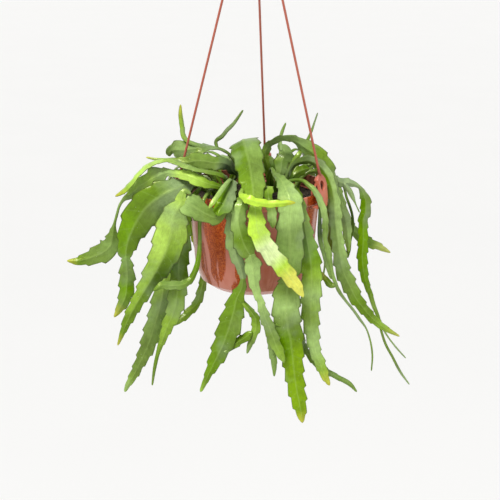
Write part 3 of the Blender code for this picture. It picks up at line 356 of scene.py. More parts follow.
        (147, -167, 2, -15), (157, -180, 2, -16), (167, -191, 1.5)], (1, 0.7, 0)),
        ("deep leaf leaf deep sage sage", [
        (19, 4, 8, 23), (18, 12, 14, 26), (17, 21, 16, 28), (15, 29, 10, 30), (14, 33, 2, 31)],
        (0, 0.08, 0))]),
    "stem_right_rear": ((46, 18), [
        ("leaf sage sage pale mint pale clear straw", [
        (66, 15, 5, 20), (77, 13, 6), (88, 3, 8, 18), (96, -20, 10, 14), (103, -42, 11, 10),
        (112, -53, 12, 8), (125, -63, 12), (139, -69, 8), (150, -75, 2)])]),
    "stem_upright_grey": ((24, 11), [
        ("deep deep sage leaf sage", [
        (29, 14, 12, 8), (30, 20, 15, 10), (31, 27, 18, 12), (34, 32, 20, 14), (33, 38, 15, 17),
        (29, 42, 8, 19), (27, 46, 2, 20)]),
        ("mint sage", [
        (29, 50, 4, 20, 30), (31, 58, 4, 21, 30), (35, 68, 2, 22, 30)], (0, 0.88, -0.4))]),
    "stem_upright_thin": ((32, 0), [
        ("dark deep sage fresh sage frost", [
        (38, 14, 5, -1), (43, 23, 6, -2), (49, 33, 6, -1), (54, 40, 4, 6, 30), (58, 47, 4, 12, 30),
        (63, 58, 3, 13, 30), (67, 70, 2, 14, 30), (70, 79, 1.5, 14, 30)])]),
    "stem_young_centre": ((15, -44), [
        ("deep deep leaf fresh bright fresh leaf sage mint leaf", [
        (14, -10, 7, -46), (14, -4, 11, -54), (14, -3, 13, -66), (15, -9, 11, -78), (16, -16, 7, -87),
        (18, -24, 9, -91), (19, -32, 10), (20, -40, 9), (20, -48, 3)])]),
    "stem_rear_left": ((-38, 36), [
        ("leaf leaf leaf sage sage sage pale leaf leaf leaf fresh", [
        (-58, 18, 5, 50), (-61, 0, 8, 60), (-61, -20, 11, 62), (-60, -45, 13, 58), (-57, -75, 12, 48),
        (-55, -100, 9, 38), (-58, -117, 10, 30), (-63, -131, 10, 25), (-72, -141, 10, 21),
        (-81, -149, 8, 17), (-91, -156, 2, 14)])]),
}

# Stems that hang behind the pot: azimuth, root radius, how high they rise, how far out and down they hang,
# greatest width, twist at the tip and how many degrees they drift round the pot on the way down
REAR_SHOOTS = (
    (62, 42, 22, 104, 118, 22, 20, 4),
    (97, 48, 28, 112, 138, 25, -25, -3),
    (118, 46, 18, 98, 96, 20, 15, 5),
    (38, 50, 20, 106, 128, 20, 30, -4),
    (151, 48, 22, 102, 150, 22, -20, -3),
    (177, 50, 16, 104, 176, 20, 25, 2),
    (23, 54, 14, 96, 104, 15, -20, -2),
    (50, 42, 28, 118, 160, 14, -15, 9),
    (134, 32, 26, 110, 108, 17, 20, -4),
    (107.5, 56, 20, 126, 116, 17, 15, -12),
    (142.5, 40, 18, 124, 140, 15, -15, 8),
    (30, 40, 15, 120, 92, 12, 20, 6),
    (164, 44, 18, 110, 140, 17, -20, 3),
)
REAR_GREENS = (
    "leaf leaf sage pale sage leaf fresh",
    "deep leaf sage sage leaf clear fresh",
    "leaf sage pale sage sage fresh straw",
)

# Greens of the stems, as linear red, green and blue, with painted shade and painted highlights among them
GREENS = {
    # The two darkest greens are painted shade, at the crown and on faces turned from the light.
    "dark": (0.014, 0.045, 0.002),
    "deep": (0.055, 0.120, 0.004),
    "leaf": (0.115, 0.215, 0.010),
    "clear": (0.130, 0.270, 0.001),
    "grass": (0.185, 0.330, 0.001),
    "sage": (0.160, 0.255, 0.045),
    # Painted highlight, greyish.
    "frost": (0.220, 0.310, 0.130),
    "pale": (0.220, 0.345, 0.085),
    "fresh": (0.250, 0.410, 0.040),
    # Painted highlight, pale green.
    "mint": (0.330, 0.490, 0.150),
    "bright": (0.400, 0.600, 0.095),
    "lime": (0.450, 0.690, 0.055),
    # Painted highlight, near white.
    "milk": (0.700, 0.840, 0.400),
    "yellow": (0.720, 0.720, 0.120),
    "straw": (0.460, 0.440, 0.045),
}


def drawn(rows):
    """Rows of the table as (x, y, z, width, turn, facing x, y, z)."""
    result = []
    for across, up, width, *others in rows:
        back = others[0] if others else back
        turn = others[1] if len(others) > 1 else 0.0
        ray = across * RIGHT + (RIM_RISE + up) * UPWARD + RIM_DISTANCE * FORWARD
        place = EYE + ray * (back - EYE[1]) / ray[1]
        result.append([*place, width, turn, *(-ray / np.linalg.norm(ray))])
    return result


def stalk(root, facing):
    """The rooted end of a shoot, straight up through its hole in the soil."""
    heights = (SOIL_TOP - HOLE_DEPTH + FIT_GAP, SOIL_TOP - 7.0, SOIL_TOP + 4.5)
    return [[*root, height, STALK_WIDTH, 0.0, *facing] for height in heights]


def spilling(azimuth, root_radius, rise, reach, drop, width, twist, drift):
    """A shoot that rises from the soil, arches over the rim and hangs down outside the pot."""
    shape = [
        (root_radius + 10.0, 0.55 * rise, 0.22, 0.0),
        (COLLAR_RADIUS - 8.0, rise, 0.45, 0.0),
        (COLLAR_RADIUS + 8.0, 0.8 * rise, 0.6, 0.0),
        (reach - 5.0, 0.15 * rise - 0.15 * drop, 1.0, 0.2),
        (reach, -0.4 * drop, 0.95, 0.45),
        (reach + 1.0, -0.68 * drop, 0.75, 0.7),
        (reach - 3.0, -0.9 * drop, 0.4, 0.9),
        (reach - 6.0, -drop, 0.1, 1.0),
    ]
    rows = []
    for radius, height, fullness, share in shape:
        turn = math.radians(azimuth + drift * share)
        x, y = math.cos(turn), math.sin(turn)
        rows.append([x * radius, y * radius, height, max(width * fullness, 2.0), twist * share, x, y, 0.0])
    x, y = rows[0][5:7]
    return stalk((x * root_radius, y * root_radius), rows[0][5:8]) + rows


def lengths(points):
    """The length along a line of points, up to each of them."""
    return np.concatenate([[0.0], np.cumsum(np.linalg.norm(np.diff(points, axis=0), axis=1))])


def resampled(table, knots, places):
    """The columns of a table that stands at the knots, read at other places."""
    return np.column_stack([np.interp(places, knots, column) for column in table.T])


def smooth(rows):
    """The rows resampled at even steps along a smooth curve through them, with the length along it first."""
    rows = np.array(rows, float)
    knots = lengths(rows[:, :3])
    slopes = np.gradient(rows, knots, axis=0)
    places = np.append(np.arange(0.0, knots[-1], CURVE_STEP * 0.25), knots[-1])
    index = np.clip(np.searchsorted(knots, places, side="right") - 1, 0, len(knots) - 2)
    span = (knots[index + 1] - knots[index])[:, None]
    part = (places[:, None] - knots[index][:, None]) / span
    curve = (
        (2 * part**3 - 3 * part**2 + 1) * rows[index]
        + (part**3 - 2 * part**2 + part) * span * slopes[index]
        + (-2 * part**3 + 3 * part**2) * rows[index + 1]
        + (part**3 - part**2) * span * slopes[index + 1]
    )
    length = lengths(curve[:, :3])
    even = np.linspace(0.0, length[-1], max(8, round(length[-1] / CURVE_STEP)) + 1)
    return np.column_stack([even, resampled(curve, length, even)])


def unit(vectors):
    return vectors / np.maximum(np.linalg.norm(vectors, axis=-1, keepdims=True), 1e-9)


def frames(curve):
    """Along, across and normal directions of a blade at every sample of its curve."""
    along = unit(np.gradient(curve[:, 1:4], axis=0))
    across = np.cross(along, unit(curve[:, 6:9]))
    middle = len(across) // 2
    for order in (range(middle, len(across)), range(middle, -1, -1)):
        running = across[middle].copy()
        for k in order:
            if across[k] @ running < 0:
                across[k] = -across[k]
            running = 0.8 * running + across[k]
    reach = 6
    padded = np.pad(across, ((reach, reach), (0, 0)), mode="edge")
    across = sum(padded[k : k + len(across)] for k in range(2 * reach + 1))
    across = unit(across - along * np.sum(across * along, axis=1, keepdims=True))
    turn = np.radians(curve[:, 5])[:, None]
    across = across * np.cos(turn) + np.cross(along, across) * np.sin(turn)
    return along, across, np.cross(along, across)


def apply_settings(thing, settings):
    for name, value in settings.items():
        setattr(thing, name, value)


def fill(made, values):
    """Sets a node's inputs, by name or number, and links those whose value is an output of another node."""
    for name, value in values.items():
        if isinstance(value, bpy.types.NodeSocket):
            made.id_data.links.new(value, made.inputs[name])
        else:
            made.inputs[name].default_value = value


def new_node(kind, values, **settings):
    """A new node beside those that its values come from."""
    sockets = [value for value in values.values() if isinstance(value, bpy.types.NodeSocket)]
    made = sockets[0].id_data.nodes.new(kind)
    apply_settings(made, settings)
    fill(made, values)
    return made


def maths(operation, first, second=0.0):
    return new_node("ShaderNodeMath", {0: first, 1: second}, operation=operation).outputs[0]


def plus(first, second):
    return maths("ADD", first, second)


def times(first, second):
    return maths("MULTIPLY", first, second)


def blend(factor, first, second):
    """The mix of two colours, which are the inputs 6 and 7 of the node, and the output 2."""
    return new_node("ShaderNodeMix", {0: factor, 6: first, 7: second}, data_type="RGBA").outputs[2]


def painted(color, layers):
    """The colour with layers of (share, red, green, blue) over it, one on the other."""
    for share, *paint in layers:
        color = blend(share, color, (*paint, 1.0))
    return color


def between(value, low, high, start=0.0, end=1.0):
    """Runs smoothly from start to end while value goes from low to high."""
    values = {"Value": value, "From Min": low, "From Max": high, "To Min": start, "To Max": end}
    return new_node("ShaderNodeMapRange", values, interpolation_type="SMOOTHSTEP").outputs["Result"]


def noise(vector, scale, detail=3.0, roughness=0.55):
    values = {"Vector": vector, "Scale": scale, "Detail": detail, "Roughness": roughness}
    return new_node("ShaderNodeTexNoise", values).outputs["Fac"]


def cells(vector, scale):
    return new_node("ShaderNodeTexVoronoi", {"Vector": vector, "Scale": scale}).outputs["Distance"]


def stretched(vector, factors):
    return new_node("ShaderNodeVectorMath", {0: vector, 1: factors}, operation="MULTIPLY").outputs[0]


def parts(vector):
    return new_node("ShaderNodeSeparateXYZ", {0: vector}).outputs


def bump(height, distance, strength):
    values = {"Height": height, "Distance": distance, "Strength": strength}
    return new_node("ShaderNodeBump", values).outputs["Normal"]


def new_material(name):
    made = bpy.data.materials.new(name)
    made.use_nodes = True
    nodes = made.node_tree.nodes
    return made, nodes["Principled BSDF"], nodes.new("ShaderNodeTexCoord").outputs["Object"]


def attribute(made, name):
    """What the mesh's points say under this name."""
    reader = made.node_tree.nodes.new("ShaderNodeAttribute")
    reader.attribute_name = name
    return reader.outputs


def stem_material():
    """Green skin with its blade's tints, a paler midrib, faint veins to the teeth, specks and waxy bloom.

    The tints hold painted shade and highlights, and the paler midrib is partly a painted highlight.
    """
    made, shader, spot = new_material("cactus_skin")
    tint, place = attribute(made, "tint")["Color"], attribute(made, "place")["Vector"]
    count, side, width = parts(place)
    off_axis = maths("ABSOLUTE", side)
    patch = noise(spot, 34.0, 2.0)
    mottle = noise(spot, 190.0, 4.0)
    streak = noise(stretched(place, (0.35, 7.0, 0.4)), 2.2)
    light = between(patch, 0.3, 0.7, -0.13, 0.13)
    light = plus(light, between(streak, 0.3, 0.7, -0.10, 0.10))
    light = plus(light, between(mottle, 0.3, 0.7, 0.90, 1.12))
    color = new_node("ShaderNodeVectorMath", {0: tint, "Scale": light}, operation="SCALE").outputs[0]

    slant = times(maths("SUBTRACT", 1.0, off_axis), 0.9)
    right = times(maths("GREATER_THAN", side, 0.0), 0.5)
    wave = plus(times(plus(count, slant), 0.5), right)
    vein = between(maths("PINGPONG", wave, 0.5), 0.0, 0.06, 1.0, 0.0)
    vein = times(vein, between(width, 8.0, 13.0, 0.0, 0.10))
    # Paler midrib band: partly its own colour, partly a painted highlight along the ridge.
    midrib = times(between(off_axis, 0.02, 0.14, 1.0, 0.0), 0.20)
    bloom = times(between(noise(spot, 22.0), 0.52, 0.68), 0.20)
    speck = between(cells(spot, 240.0), 0.06, 0.13, 1.0, 0.0)
    speck = times(speck, between(noise(spot, 60.0), 0.52, 0.60, 0.0, 0.55))
    margin = between(off_axis, 0.90, 1.0, 0.0, 0.85)
    color = painted(color, (
        (vein, 0.36, 0.52, 0.16),
        (midrib, 0.40, 0.56, 0.16),
        (bloom, 0.40, 0.50, 0.36),
        (speck, 0.55, 0.66, 0.36),
        (margin, 0.050, 0.085, 0.006),
    ))

    grain = plus(times(streak, 0.4), times(noise(spot, 520.0), 0.5))
    grain = maths("SUBTRACT", grain, times(vein, 1.6))
    normal = bump(grain, 0.0004, 0.6)
    fill(shader, {
        "Base Color": color,
        "Roughness": between(mottle, 0.3, 0.7, 0.28, 0.38),
        "Specular IOR Level": 0.40,
        "Specular Tint": (0.85, 1.0, 0.15, 1.0),
        "Coat Weight": 0.24,
        "Coat Roughness": 0.16,
        "Normal": normal,
    })
    glow = blend(0.5, color, (0.32, 0.55, 0.03, 1.0))
    through = new_node("ShaderNodeBsdfTranslucent", {"Color": glow, "Normal": normal})
    both = new_node("ShaderNodeMixShader", {0: 0.16, 1: shader.outputs[0], 2: through.outputs[0]})
    fill(made.node_tree.nodes["Material Output"], {"Surface": both.outputs[0]})
    return made


def above_rim(height):
    """A height above the rim, in metres from the hook's seat."""
    return (height - HOOK_SEAT) * MM


def haze_gap(angle, height, middle, half_low, half_high):
    """1 in an upright streak round this azimuth, and 0 beside it."""
    half = between(height, above_rim(-POT_HEIGHT), above_rim(-COLLAR_HEIGHT), half_low, half_high)
    off = maths("ABSOLUTE", maths("SUBTRACT", angle, middle))
    return between(maths("DIVIDE", off, half), 0.7, 1.15, 1.0, 0.0)


def pot_material():
    """Glossy plastic under a painted pink reflection, left off in a broad rust-red streak and thin ones."""
    made, shader, spot = new_material("pot_plastic_rust")
    x, y, height = parts(spot)
    angle = maths("ARCTAN2", x, times(y, -1.0))
    streak = noise(stretched(spot, (1.0, 1.0, 0.16)), 46.0, 4.0, 0.6)
    cloud = noise(spot, 16.0)
    fine = noise(spot, 600.0)
    # The pink over the wall is painted reflection of the white surround, thicker in cloudy patches.
    haze = between(plus(streak, times(cloud, 0.6)), 0.60, 0.96)
    color = blend(haze, (0.480, 0.140, 0.085, 1.0), (0.58, 0.225, 0.170, 1.0))
    # Painted reflection: a paler pink band round the left flank, seen edge-on from the front.
    pale = times(between(angle, -2.3, -1.5), between(angle, -1.35, -0.95, 0.85, 0.0))
    rim = between(height, above_rim(-COLLAR_HEIGHT - 1.2), above_rim(-COLLAR_HEIGHT), 0.0, 0.45)
    color = painted(color, ((pale, 0.80, 0.52, 0.47), (rim, 0.80, 0.26, 0.14)))
    # Painted reflection left off in streaks, as where dark leaves are reflected, showing plain plastic.
    ragged = plus(angle, between(streak, 0.2, 0.8, -0.16, 0.16))
    unhazed = 0.0
    for place in HAZE_GAPS:
        unhazed = maths("MAXIMUM", unhazed, haze_gap(ragged, height, *place))
    grain = between(fine, 0.40, 0.62)
    rust = blend(grain, (0.25, 0.028, 0.001, 1.0), (0.46, 0.090, 0.008, 1.0))
    color = blend(times(unhazed, 0.95), color, rust)
    reach = maths("SQRT", plus(times(x, x), times(y, y)))
    # Painted shade on the collar's inside face, above the top of the wall.
    inner = between(reach, (COLLAR_INSIDE + 0.4) * MM, (COLLAR_INSIDE + 1.2) * MM, 0.85, 0.0)
    inner = times(inner, between(height, above_rim(WALL[0][1]), above_rim(WALL[0][1] + 0.4)))
    dust = between(fine, 0.62, 0.72, 0.0, 0.25)
    fill(shader, {
        "Base Color": painted(color, ((inner, 0.060, 0.022, 0.012), (dust, 0.50, 0.25, 0.19))),
        "Roughness": between(streak, 0.3, 0.7, 0.16, 0.34),
        "Specular IOR Level": 0.35,
        "Specular Tint": (1.0, 0.75, 0.55, 1.0),
        "Normal": bump(plus(fine, cloud), 0.0002, 0.5),
    })
    return made


def hanger_material():
    """Red-brown plastic, a little lighter and more orange low down, where it clips on."""
    made, shader, spot = new_material("hanger_plastic_red")
    low = between(parts(spot)[2], above_rim(0.0), above_rim(28.0), 1.0, 0.0)
    color = blend(low, (0.32, 0.070, 0.038, 1.0), (0.62, 0.165, 0.090, 1.0))
    cloud = noise(spot, 120.0)
    fill(shader, {
        "Base Color": painted(color, ((between(cloud, 0.4, 0.7, 0.0, 0.25), 0.46, 0.17, 0.11),)),
        "Roughness": between(cloud, 0.3, 0.7, 0.30, 0.45),
        "Normal": bump(noise(spot, 900.0, 2.0), 0.0001, 0.5),
    })
    return made


def soil_material():
    """Dark damp compost with browner crumbs and a few pale grains."""
    made, shader, spot = new_material("compost")
    mottle = noise(spot, 260.0, 5.0, 0.7)
    brown = between(mottle, 0.35, 0.65)
    color = blend(brown, (0.010, 0.006, 0.004, 1.0), (0.060, 0.038, 0.020, 1.0))
    grain = between(cells(spot, 310.0), 0.05, 0.14, 0.5, 0.0)
    fill(shader, {
        "Base Color": painted(color, ((grain, 0.20, 0.15, 0.09),)),
        "Roughness": 0.92,
        "Normal": bump(mottle, 0.0012, 0.9),
    })
    return made


def floor_material():
    made, shader, spot = new_material("pale_floor")
    cloud = noise(spot, 1.5)
    fill(shader, {
        "Base Color": blend(cloud, (0.33, 0.33, 0.328, 1.0), (0.35, 0.35, 0.348, 1.0)),
        "Roughness": 0.8,
        "Emission Color": (1.0, 1.0, 0.99, 1.0),
        "Emission Strength": 0.545,
    })
    return made


def added(name, data):
    """A new object of the scene."""
    thing = bpy.data.objects.new(name, data)
    bpy.context.scene.collection.objects.link(thing)
    return thing


def mesh_object(name, points, faces):
    """An object of these points, in millimetres above the rim, with smooth faces between its sharp edges."""
    mesh = bpy.data.meshes.new(name)
    places = (np.array(points, float) - np.array((0.0, 0.0, HOOK_SEAT))) * MM
    mesh.from_pydata(places.tolist(), [], faces)
    mesh.shade_smooth()
    return added(name, mesh)


def circle(radius, height, sides):
    """Points round the pot's axis, or one point on it."""
    if radius == 0.0:
        return [(0.0, 0.0, height)]
    angles = [2 * math.pi * k / sides for k in range(sides)]
    return [(radius * math.cos(angle), radius * math.sin(angle), height) for angle in angles]


def skinned(rings):
    """Points and faces of a closed solid from rings of points; a ring of one point is a tip."""
    sides = max(len(ring) for ring in rings)
    faces, numbers, start = [], [], 0
    for ring in rings:
        numbers.append([start + k % len(ring) for k in range(sides)])
        start += len(ring)
    for low, high in zip(numbers, numbers[1:]):
        for k in range(sides):
            n = (k + 1) % sides
            faces.append(tuple(dict.fromkeys((low[k], high[k], high[n], low[n]))))
    if len(rings[0]) > 1:
        faces.append(numbers[0])
    if len(rings[-1]) > 1:
        faces.append(numbers[-1][::-1])
    return np.concatenate([np.reshape(ring, (-1, 3)) for ring in rings]), faces


def stations_of(curve):
    """Where the margin's turning points lie along a blade, and a count that is even at teeth on the left."""
    places, counts, side = [0.0], [0], 0
    while places[-1] < curve[-1, 0] - 0.35 * TOOTH_PITCH:
        width = np.interp(places[-1], curve[:, 0], curve[:, 4])
        plain = width < TOOTHLESS_WIDTH
        pitch = TOOTH_PITCH + TOOTH_PITCH_PER_WIDTH * width
        places.append(places[-1] + (PLAIN_STEP if plain else pitch / 2))
        side = 0 if plain else (1 if side <= 0 else -1)
        skips = side != 0 and (counts[-1] + 1) % 2 == (side > 0)
        counts.append(counts[-1] + (2 if skips else 1))
    places[-1] = curve[-1, 0]
    return places, counts


def sections_of(curve, places):
    """Where a blade's cross sections lie along it, and the length of its rounded tip."""
    spots = []
    for start, end in zip(places, places[1:]):
        number = max(2, round((end - start) / SECTION_STEP))
        knee = end - 2 * (1.0 - TOOTH_PLACE) * (end - start)
        spots += [*np.linspace(start, knee, number - 1, endpoint=False), knee, 0.55 * knee + 0.45 * end]
    length = curve[-1, 0]
    tip = min(0.25 * length, max(2.5, 0.5 * curve[-1, 4] + 1.5))
    spots = [spot for spot in spots if spot < length - tip]
    turns = [k * math.pi / 2 / TIP_SECTIONS for k in range(TIP_SECTIONS)]
    spots += [length - tip * (1.0 - math.sin(turn)) for turn in turns]
    return np.array(spots), tip


def tooth(count):
    """The margin between two notches: a long rise to the tooth, then a short step in, from -1 to 1."""
    phase = np.mod(count / 2, 1.0)
    rise = np.clip(phase / TOOTH_PLACE, 0.0, 1.0) ** TOOTH_CURVE
    fall = np.clip((1.0 - phase) / (1.0 - TOOTH_PLACE), 0.0, 1.0) ** TOOTH_CURVE
    return 2.0 * np.where(phase < TOOTH_PLACE, rise, fall) - 1.0


def blade_colors(names, shares, along, count, width):
    """The colour of each point: its half's greens, blended near the midrib, and darker tips of the teeth."""
    names = names.split()
    halves = []
    # Where a blade's halves differ, their greens paint the lit and the shaded side of its fold.
    for half in (0, -1):
        greens = np.array([GREENS[name.split("/")[half]] for name in names])
        halves.append(resampled(greens, np.linspace(0.0, 1.0, len(names)), along)[:, None, :])
    turn_over = np.clip((np.array(shares) + 0.25) / 0.5, 0.0, 1.0)
    turn_over = (turn_over**2 * (3.0 - 2.0 * turn_over))[None, :, None]
    colors = halves[0] * turn_over + halves[1] * (1.0 - turn_over)
    for column, share in enumerate(shares):
        if abs(share) > MARGIN_SHARE:
            phase = np.mod((count - (share < 0)) / 2, 1.0)
            tipped = np.exp(-(((phase - TOOTH_PLACE) / 0.09) ** 2)) * (width > TOOTHLESS_WIDTH)
            colors[:, column] *= 1.0 - tipped[:, None] * TOOTH_DARKENING
    return colors


def blade_mesh(curve, names, seed):
    """A living blade: fleshy midrib, thin toothed margins with a slight ruffle, and a rounded tip.

    Each point carries its colour and its place: the count of teeth, the share across and the blade's width.
    """
    places, counts = stations_of(curve)
    spots, tip = sections_of(curve, places)
    at = resampled(np.column_stack([curve, *frames(curve)]), curve[:, 0], spots)
    middle, ahead, sideways, up = at[:, 1:4], unit(at[:, 9:12]), unit(at[:, 12:15]), unit(at[:, 15:18])
    count = np.interp(spots, places, counts)
    width = np.maximum(at[:, 4], 1.2)
    to_tip = curve[-1, 0] - spots
    rounding = np.sqrt(np.clip(1.0 - np.clip((tip - to_tip) / tip, 0.0, 1.0) ** 2, 0.02, 1.0))
    height = np.minimum(TOOTH_HEIGHT_MOST, TOOTH_HEIGHT_PER_WIDTH * width)
    height = height * np.clip((width - TOOTHLESS_WIDTH + 1.0) / 2.0, 0.0, 1.0)
    ruffle = np.minimum(RUFFLE_MOST, RUFFLE_PER_WIDTH * width)
    left = (width / 2 + height * tooth(count - 1)) * rounding, ruffle * np.sin(spots / 7.3 + seed)
    right = (width / 2 + height * tooth(count)) * rounding, ruffle * np.sin(spots / 6.1 + 2.0 * seed + 1.0)
    rib = RIB_THICKNESS * np.clip(width / 4.0, 0.45, 1.0) - EDGE_THICKNESS

    shares = [*ACROSS, 1.0, *ACROSS[::-1], -1.0]
    faces_up = [1] * len(ACROSS) + [0] + [-1] * len(ACROSS) + [0]
    columns = []
    for share, sign in zip(shares, faces_up):
        reach, wave = left if share < 0 else right
        ridge = np.exp(-((abs(share) * width / 2 / RIB_REACH) ** 2))
        thick = EDGE_THICKNESS + rib * (0.65 * ridge + 0.35 * (1 - share**2))
        thick = thick * (0.45 + 0.55 * rounding) * (0.78 if abs(share) > MARGIN_SHARE else 1.0)
        lift = FOLD * width * abs(share) ** 1.3 + wave * share**2 + sign * thick / 2
        columns.append(middle + sideways * (share * reach)[:, None] + up * lift[:, None])
    rings = np.stack(columns, axis=1)
    points, faces = skinned([middle[:1], *rings, middle[-1:] + ahead[-1:] * 0.25])

    colors = blade_colors(names, shares, spots / curve[-1, 0], count, width)
    where = np.broadcast_arrays(count[:, None] + 40.0 * seed, shares, width[:, None])
    looks = np.concatenate([colors, np.stack(where, axis=2)], axis=2).reshape(-1, 6)
    return points, faces, looks[[0, *range(len(looks)), -1]]


def joined(name, meshes):
    """One object from several blade meshes, with their colours and places as attributes."""
    faces, start = [], 0
    for points, blade_faces, _ in meshes:
        faces += [tuple(number + start for number in face) for face in blade_faces]
        start += len(points)
    points, looks = (np.concatenate([mesh[k] for mesh in meshes]) for k in (0, 2))
    thing = mesh_object(name, points, faces)
    tint = thing.data.attributes.new("tint", "FLOAT_COLOR", "POINT")
    tint.data.foreach_set("color", np.column_stack([looks[:, :3], np.ones(len(looks))]).ravel())
    place = thing.data.attributes.new("place", "FLOAT_VECTOR", "POINT")
    place.data.foreach_set("vector", looks[:, 3:].ravel())
    return thing


def shoot_meshes(root, blades, seed):
    """The blades of one shoot: the first stands in the soil, and the others branch from one before."""
    curves, meshes = [], []
    for number, (names, rows, *origin) in enumerate(blades):
        rows = drawn(rows)
        facing = rows[0][5:8]
        if not origin:
            rows = stalk(root, facing) + rows
        else:
            parent, share, side = origin[0]
            curve = curves[parent]
            k = round(share * (len(curve) - 1))
            start = curve[k, 1:4] + frames(curve)[1][k] * side * curve[k, 4] / 2
            rows = [[*start, max(3.0, 0.5 * rows[0][3]), 0.0, *facing]] + rows
        curves.append(smooth(rows))
        meshes.append(blade_mesh(curves[-1], names, seed + 0.37 * number))
    return meshes


def turned(name, profile, sides):
    """A solid turned about Z, from (radius, height) pairs that run up its outside and end on the axis."""
    rings = [circle(radius, height, sides) for radius, height in profile]
    return mesh_object(name, *skinned(rings[::-1]))


def swept(name, path, radii, sides):
    """A round bar along a path, with a radius for each of its points."""
    path = np.array(path, float)
    along = unit(np.gradient(path, axis=0))
    first = unit(np.cross(along, (0.0, 1.0, 0.0)))
    second = np.cross(along, first)
    rings = []
    for place, side, other, radius in zip(path, first, second, radii):
        rings.append([place + x * side + y * other for x, y, _ in circle(radius, 0.0, sides)])
    return mesh_object(name, *skinned(rings[::-1]))


def modified(thing, kind, **settings):
    """The object with a modifier made into its mesh."""
    apply_settings(thing.modifiers.new("change", kind), settings)
    graph = bpy.context.evaluated_depsgraph_get()
    mesh = bpy.data.meshes.new_from_object(thing.evaluated_get(graph))
    thing.modifiers.clear()
    thing.data = mesh
    return thing


def cut(base, others):
    """Cuts the other objects from base and removes them."""
    scene = bpy.context.scene.collection
    group = bpy.data.collections.new(base.name + "_cuts")
    scene.children.link(group)
    for other in others:
        scene.objects.unlink(other)
        group.objects.link(other)
    how = {"operation": "DIFFERENCE", "solver": "MANIFOLD", "operand_type": "COLLECTION"}
    modified(base, "BOOLEAN", collection=group, **how)
    for other in others:
        bpy.data.objects.remove(other, do_unlink=True)
    bpy.data.collections.remove(group)


def bevelled(thing, width):
    how = {"segments": BEVEL_SEGMENTS, "limit_method": "ANGLE", "angle_limit": BEVEL_ANGLE}
    return modified(thing, "BEVEL", width=width * MM, harden_normals=False, **how)


def make_pot():
    (top_radius, top_height), *lower = WALL
    hollow, inner_floor = -POT_HEIGHT + BASE_HOLLOW, -POT_HEIGHT + FLOOR_THICKNESS
    profile = [
        (0.0, hollow), (DRAIN_CIRCLE - 10.0, hollow), (DRAIN_CIRCLE - 8.0, -POT_HEIGHT),
        (BASE_RADIUS, -POT_HEIGHT), *WALL[::-1], (COLLAR_RADIUS - 0.6, -COLLAR_HEIGHT - 0.2),
        (COLLAR_RADIUS, -COLLAR_HEIGHT + 0.4), (COLLAR_RADIUS, -0.7), (COLLAR_RADIUS - 0.7, 0.0),
        (COLLAR_INSIDE, 0.0), (COLLAR_INSIDE, -COLLAR_HEIGHT + 1.6),
        (top_radius - WALL_THICKNESS, top_height + 2.0),
        *[(radius - WALL_THICKNESS, height + 0.4) for radius, height in lower],
        (BASE_RADIUS - 1.5, inner_floor), (0.0, inner_floor + 1.0),
    ]
    pot = turned("pot_turned", profile, POT_SIDES)
    drains = []
    for k in range(DRAIN_COUNT):
        azimuth = 360.0 * (k + 0.5) / DRAIN_COUNT
        path = [placed(azimuth, DRAIN_CIRCLE, 0.0, -POT_HEIGHT + lift) for lift in (-5.0, 8.0)]
        drains.append(swept("drain", path, [DRAIN_RADIUS] * 2, DRAIN_SIDES))
    cut(pot, drains)
    bevelled(pot, POT_EDGE)
    pot.data.shade_smooth()
    pot.data.set_sharp_from_angle(angle=SHARP_ANGLE)
    return pot


def soil_level(radius):
    """The height of the crowned soil at this distance from the pot's axis, without its crumbs."""
    return SOIL_TOP + SOIL_CROWN * (1 - radius / SOIL_RADIUS) - 1.0


def make_soil():
    """A crowned, crumbly surface down to the foot of the pot, with loose bits lying on it."""
    rings = [circle(0.0, SOIL_TOP + SOIL_CROWN - 1.2, SOIL_SIDES)]
    for number in range(1, SOIL_RINGS + 1):
        radius = SOIL_RADIUS * number / SOIL_RINGS
        ring = []
        for x, y, _ in circle(radius, 0.0, SOIL_SIDES):
            rough = noise_vector.fractal(Vector((x, y, 3.0)) / 5.0, 0.8, 2.1, 4)
            ring.append((x, y, min(soil_level(radius) + 0.8 * rough, SOIL_TOP + SOIL_CROWN)))
        rings.append(ring)
    rings += [circle(radius, height, SOIL_SIDES) for radius, height in SOIL_FLANK]
    soil = mesh_object("potting_soil_crumbly", *skinned(rings))
    add_crumbs(soil)
    return soil


def add_crumbs(soil):
    """Puts loose bits of bark and grit on the soil, each a small dented ball."""
    chance = random.Random(SEED)
    made = bmesh.new()
    made.from_mesh(soil.data)
    for _ in range(CRUMBS):
        radius = SOIL_RADIUS * math.sqrt(chance.random()) * 0.96
        angle = chance.uniform(0.0, 2 * math.pi)
        size = chance.uniform(0.5, 1.9)
        grown = bmesh.ops.create_icosphere(made, subdivisions=1, radius=1.0)
        stretch = Vector((chance.uniform(0.7, 1.8), chance.uniform(0.7, 1.2), chance.uniform(0.4, 0.8)))
        spin = Euler((chance.uniform(-0.5, 0.5), chance.uniform(-0.5, 0.5), chance.uniform(0, 6.28)))
        lying = soil_level(radius) + 0.1 * size
        centre = Vector((radius * math.cos(angle), radius * math.sin(angle), lying))
        for point in grown["verts"]:
            dented = point.co * (size * chance.uniform(0.75, 1.1))
            place = spin.to_matrix() @ (dented * stretch) + centre
            level = above_rim(min(place.z, SOIL_TOP + SOIL_CROWN))
            point.co = (place.x * MM, place.y * MM, level)
    made.to_mesh(soil.data)
    made.free()
    soil.data.shade_smooth()


def join_objects(base, others):
    """One object from several of the same finish."""
    made = bmesh.new()
    for thing in [base, *others]:
        made.from_mesh(thing.data)
    made.to_mesh(base.data)
    made.free()
    for other in others:
        bpy.data.objects.remove(other, do_unlink=True)
    return base


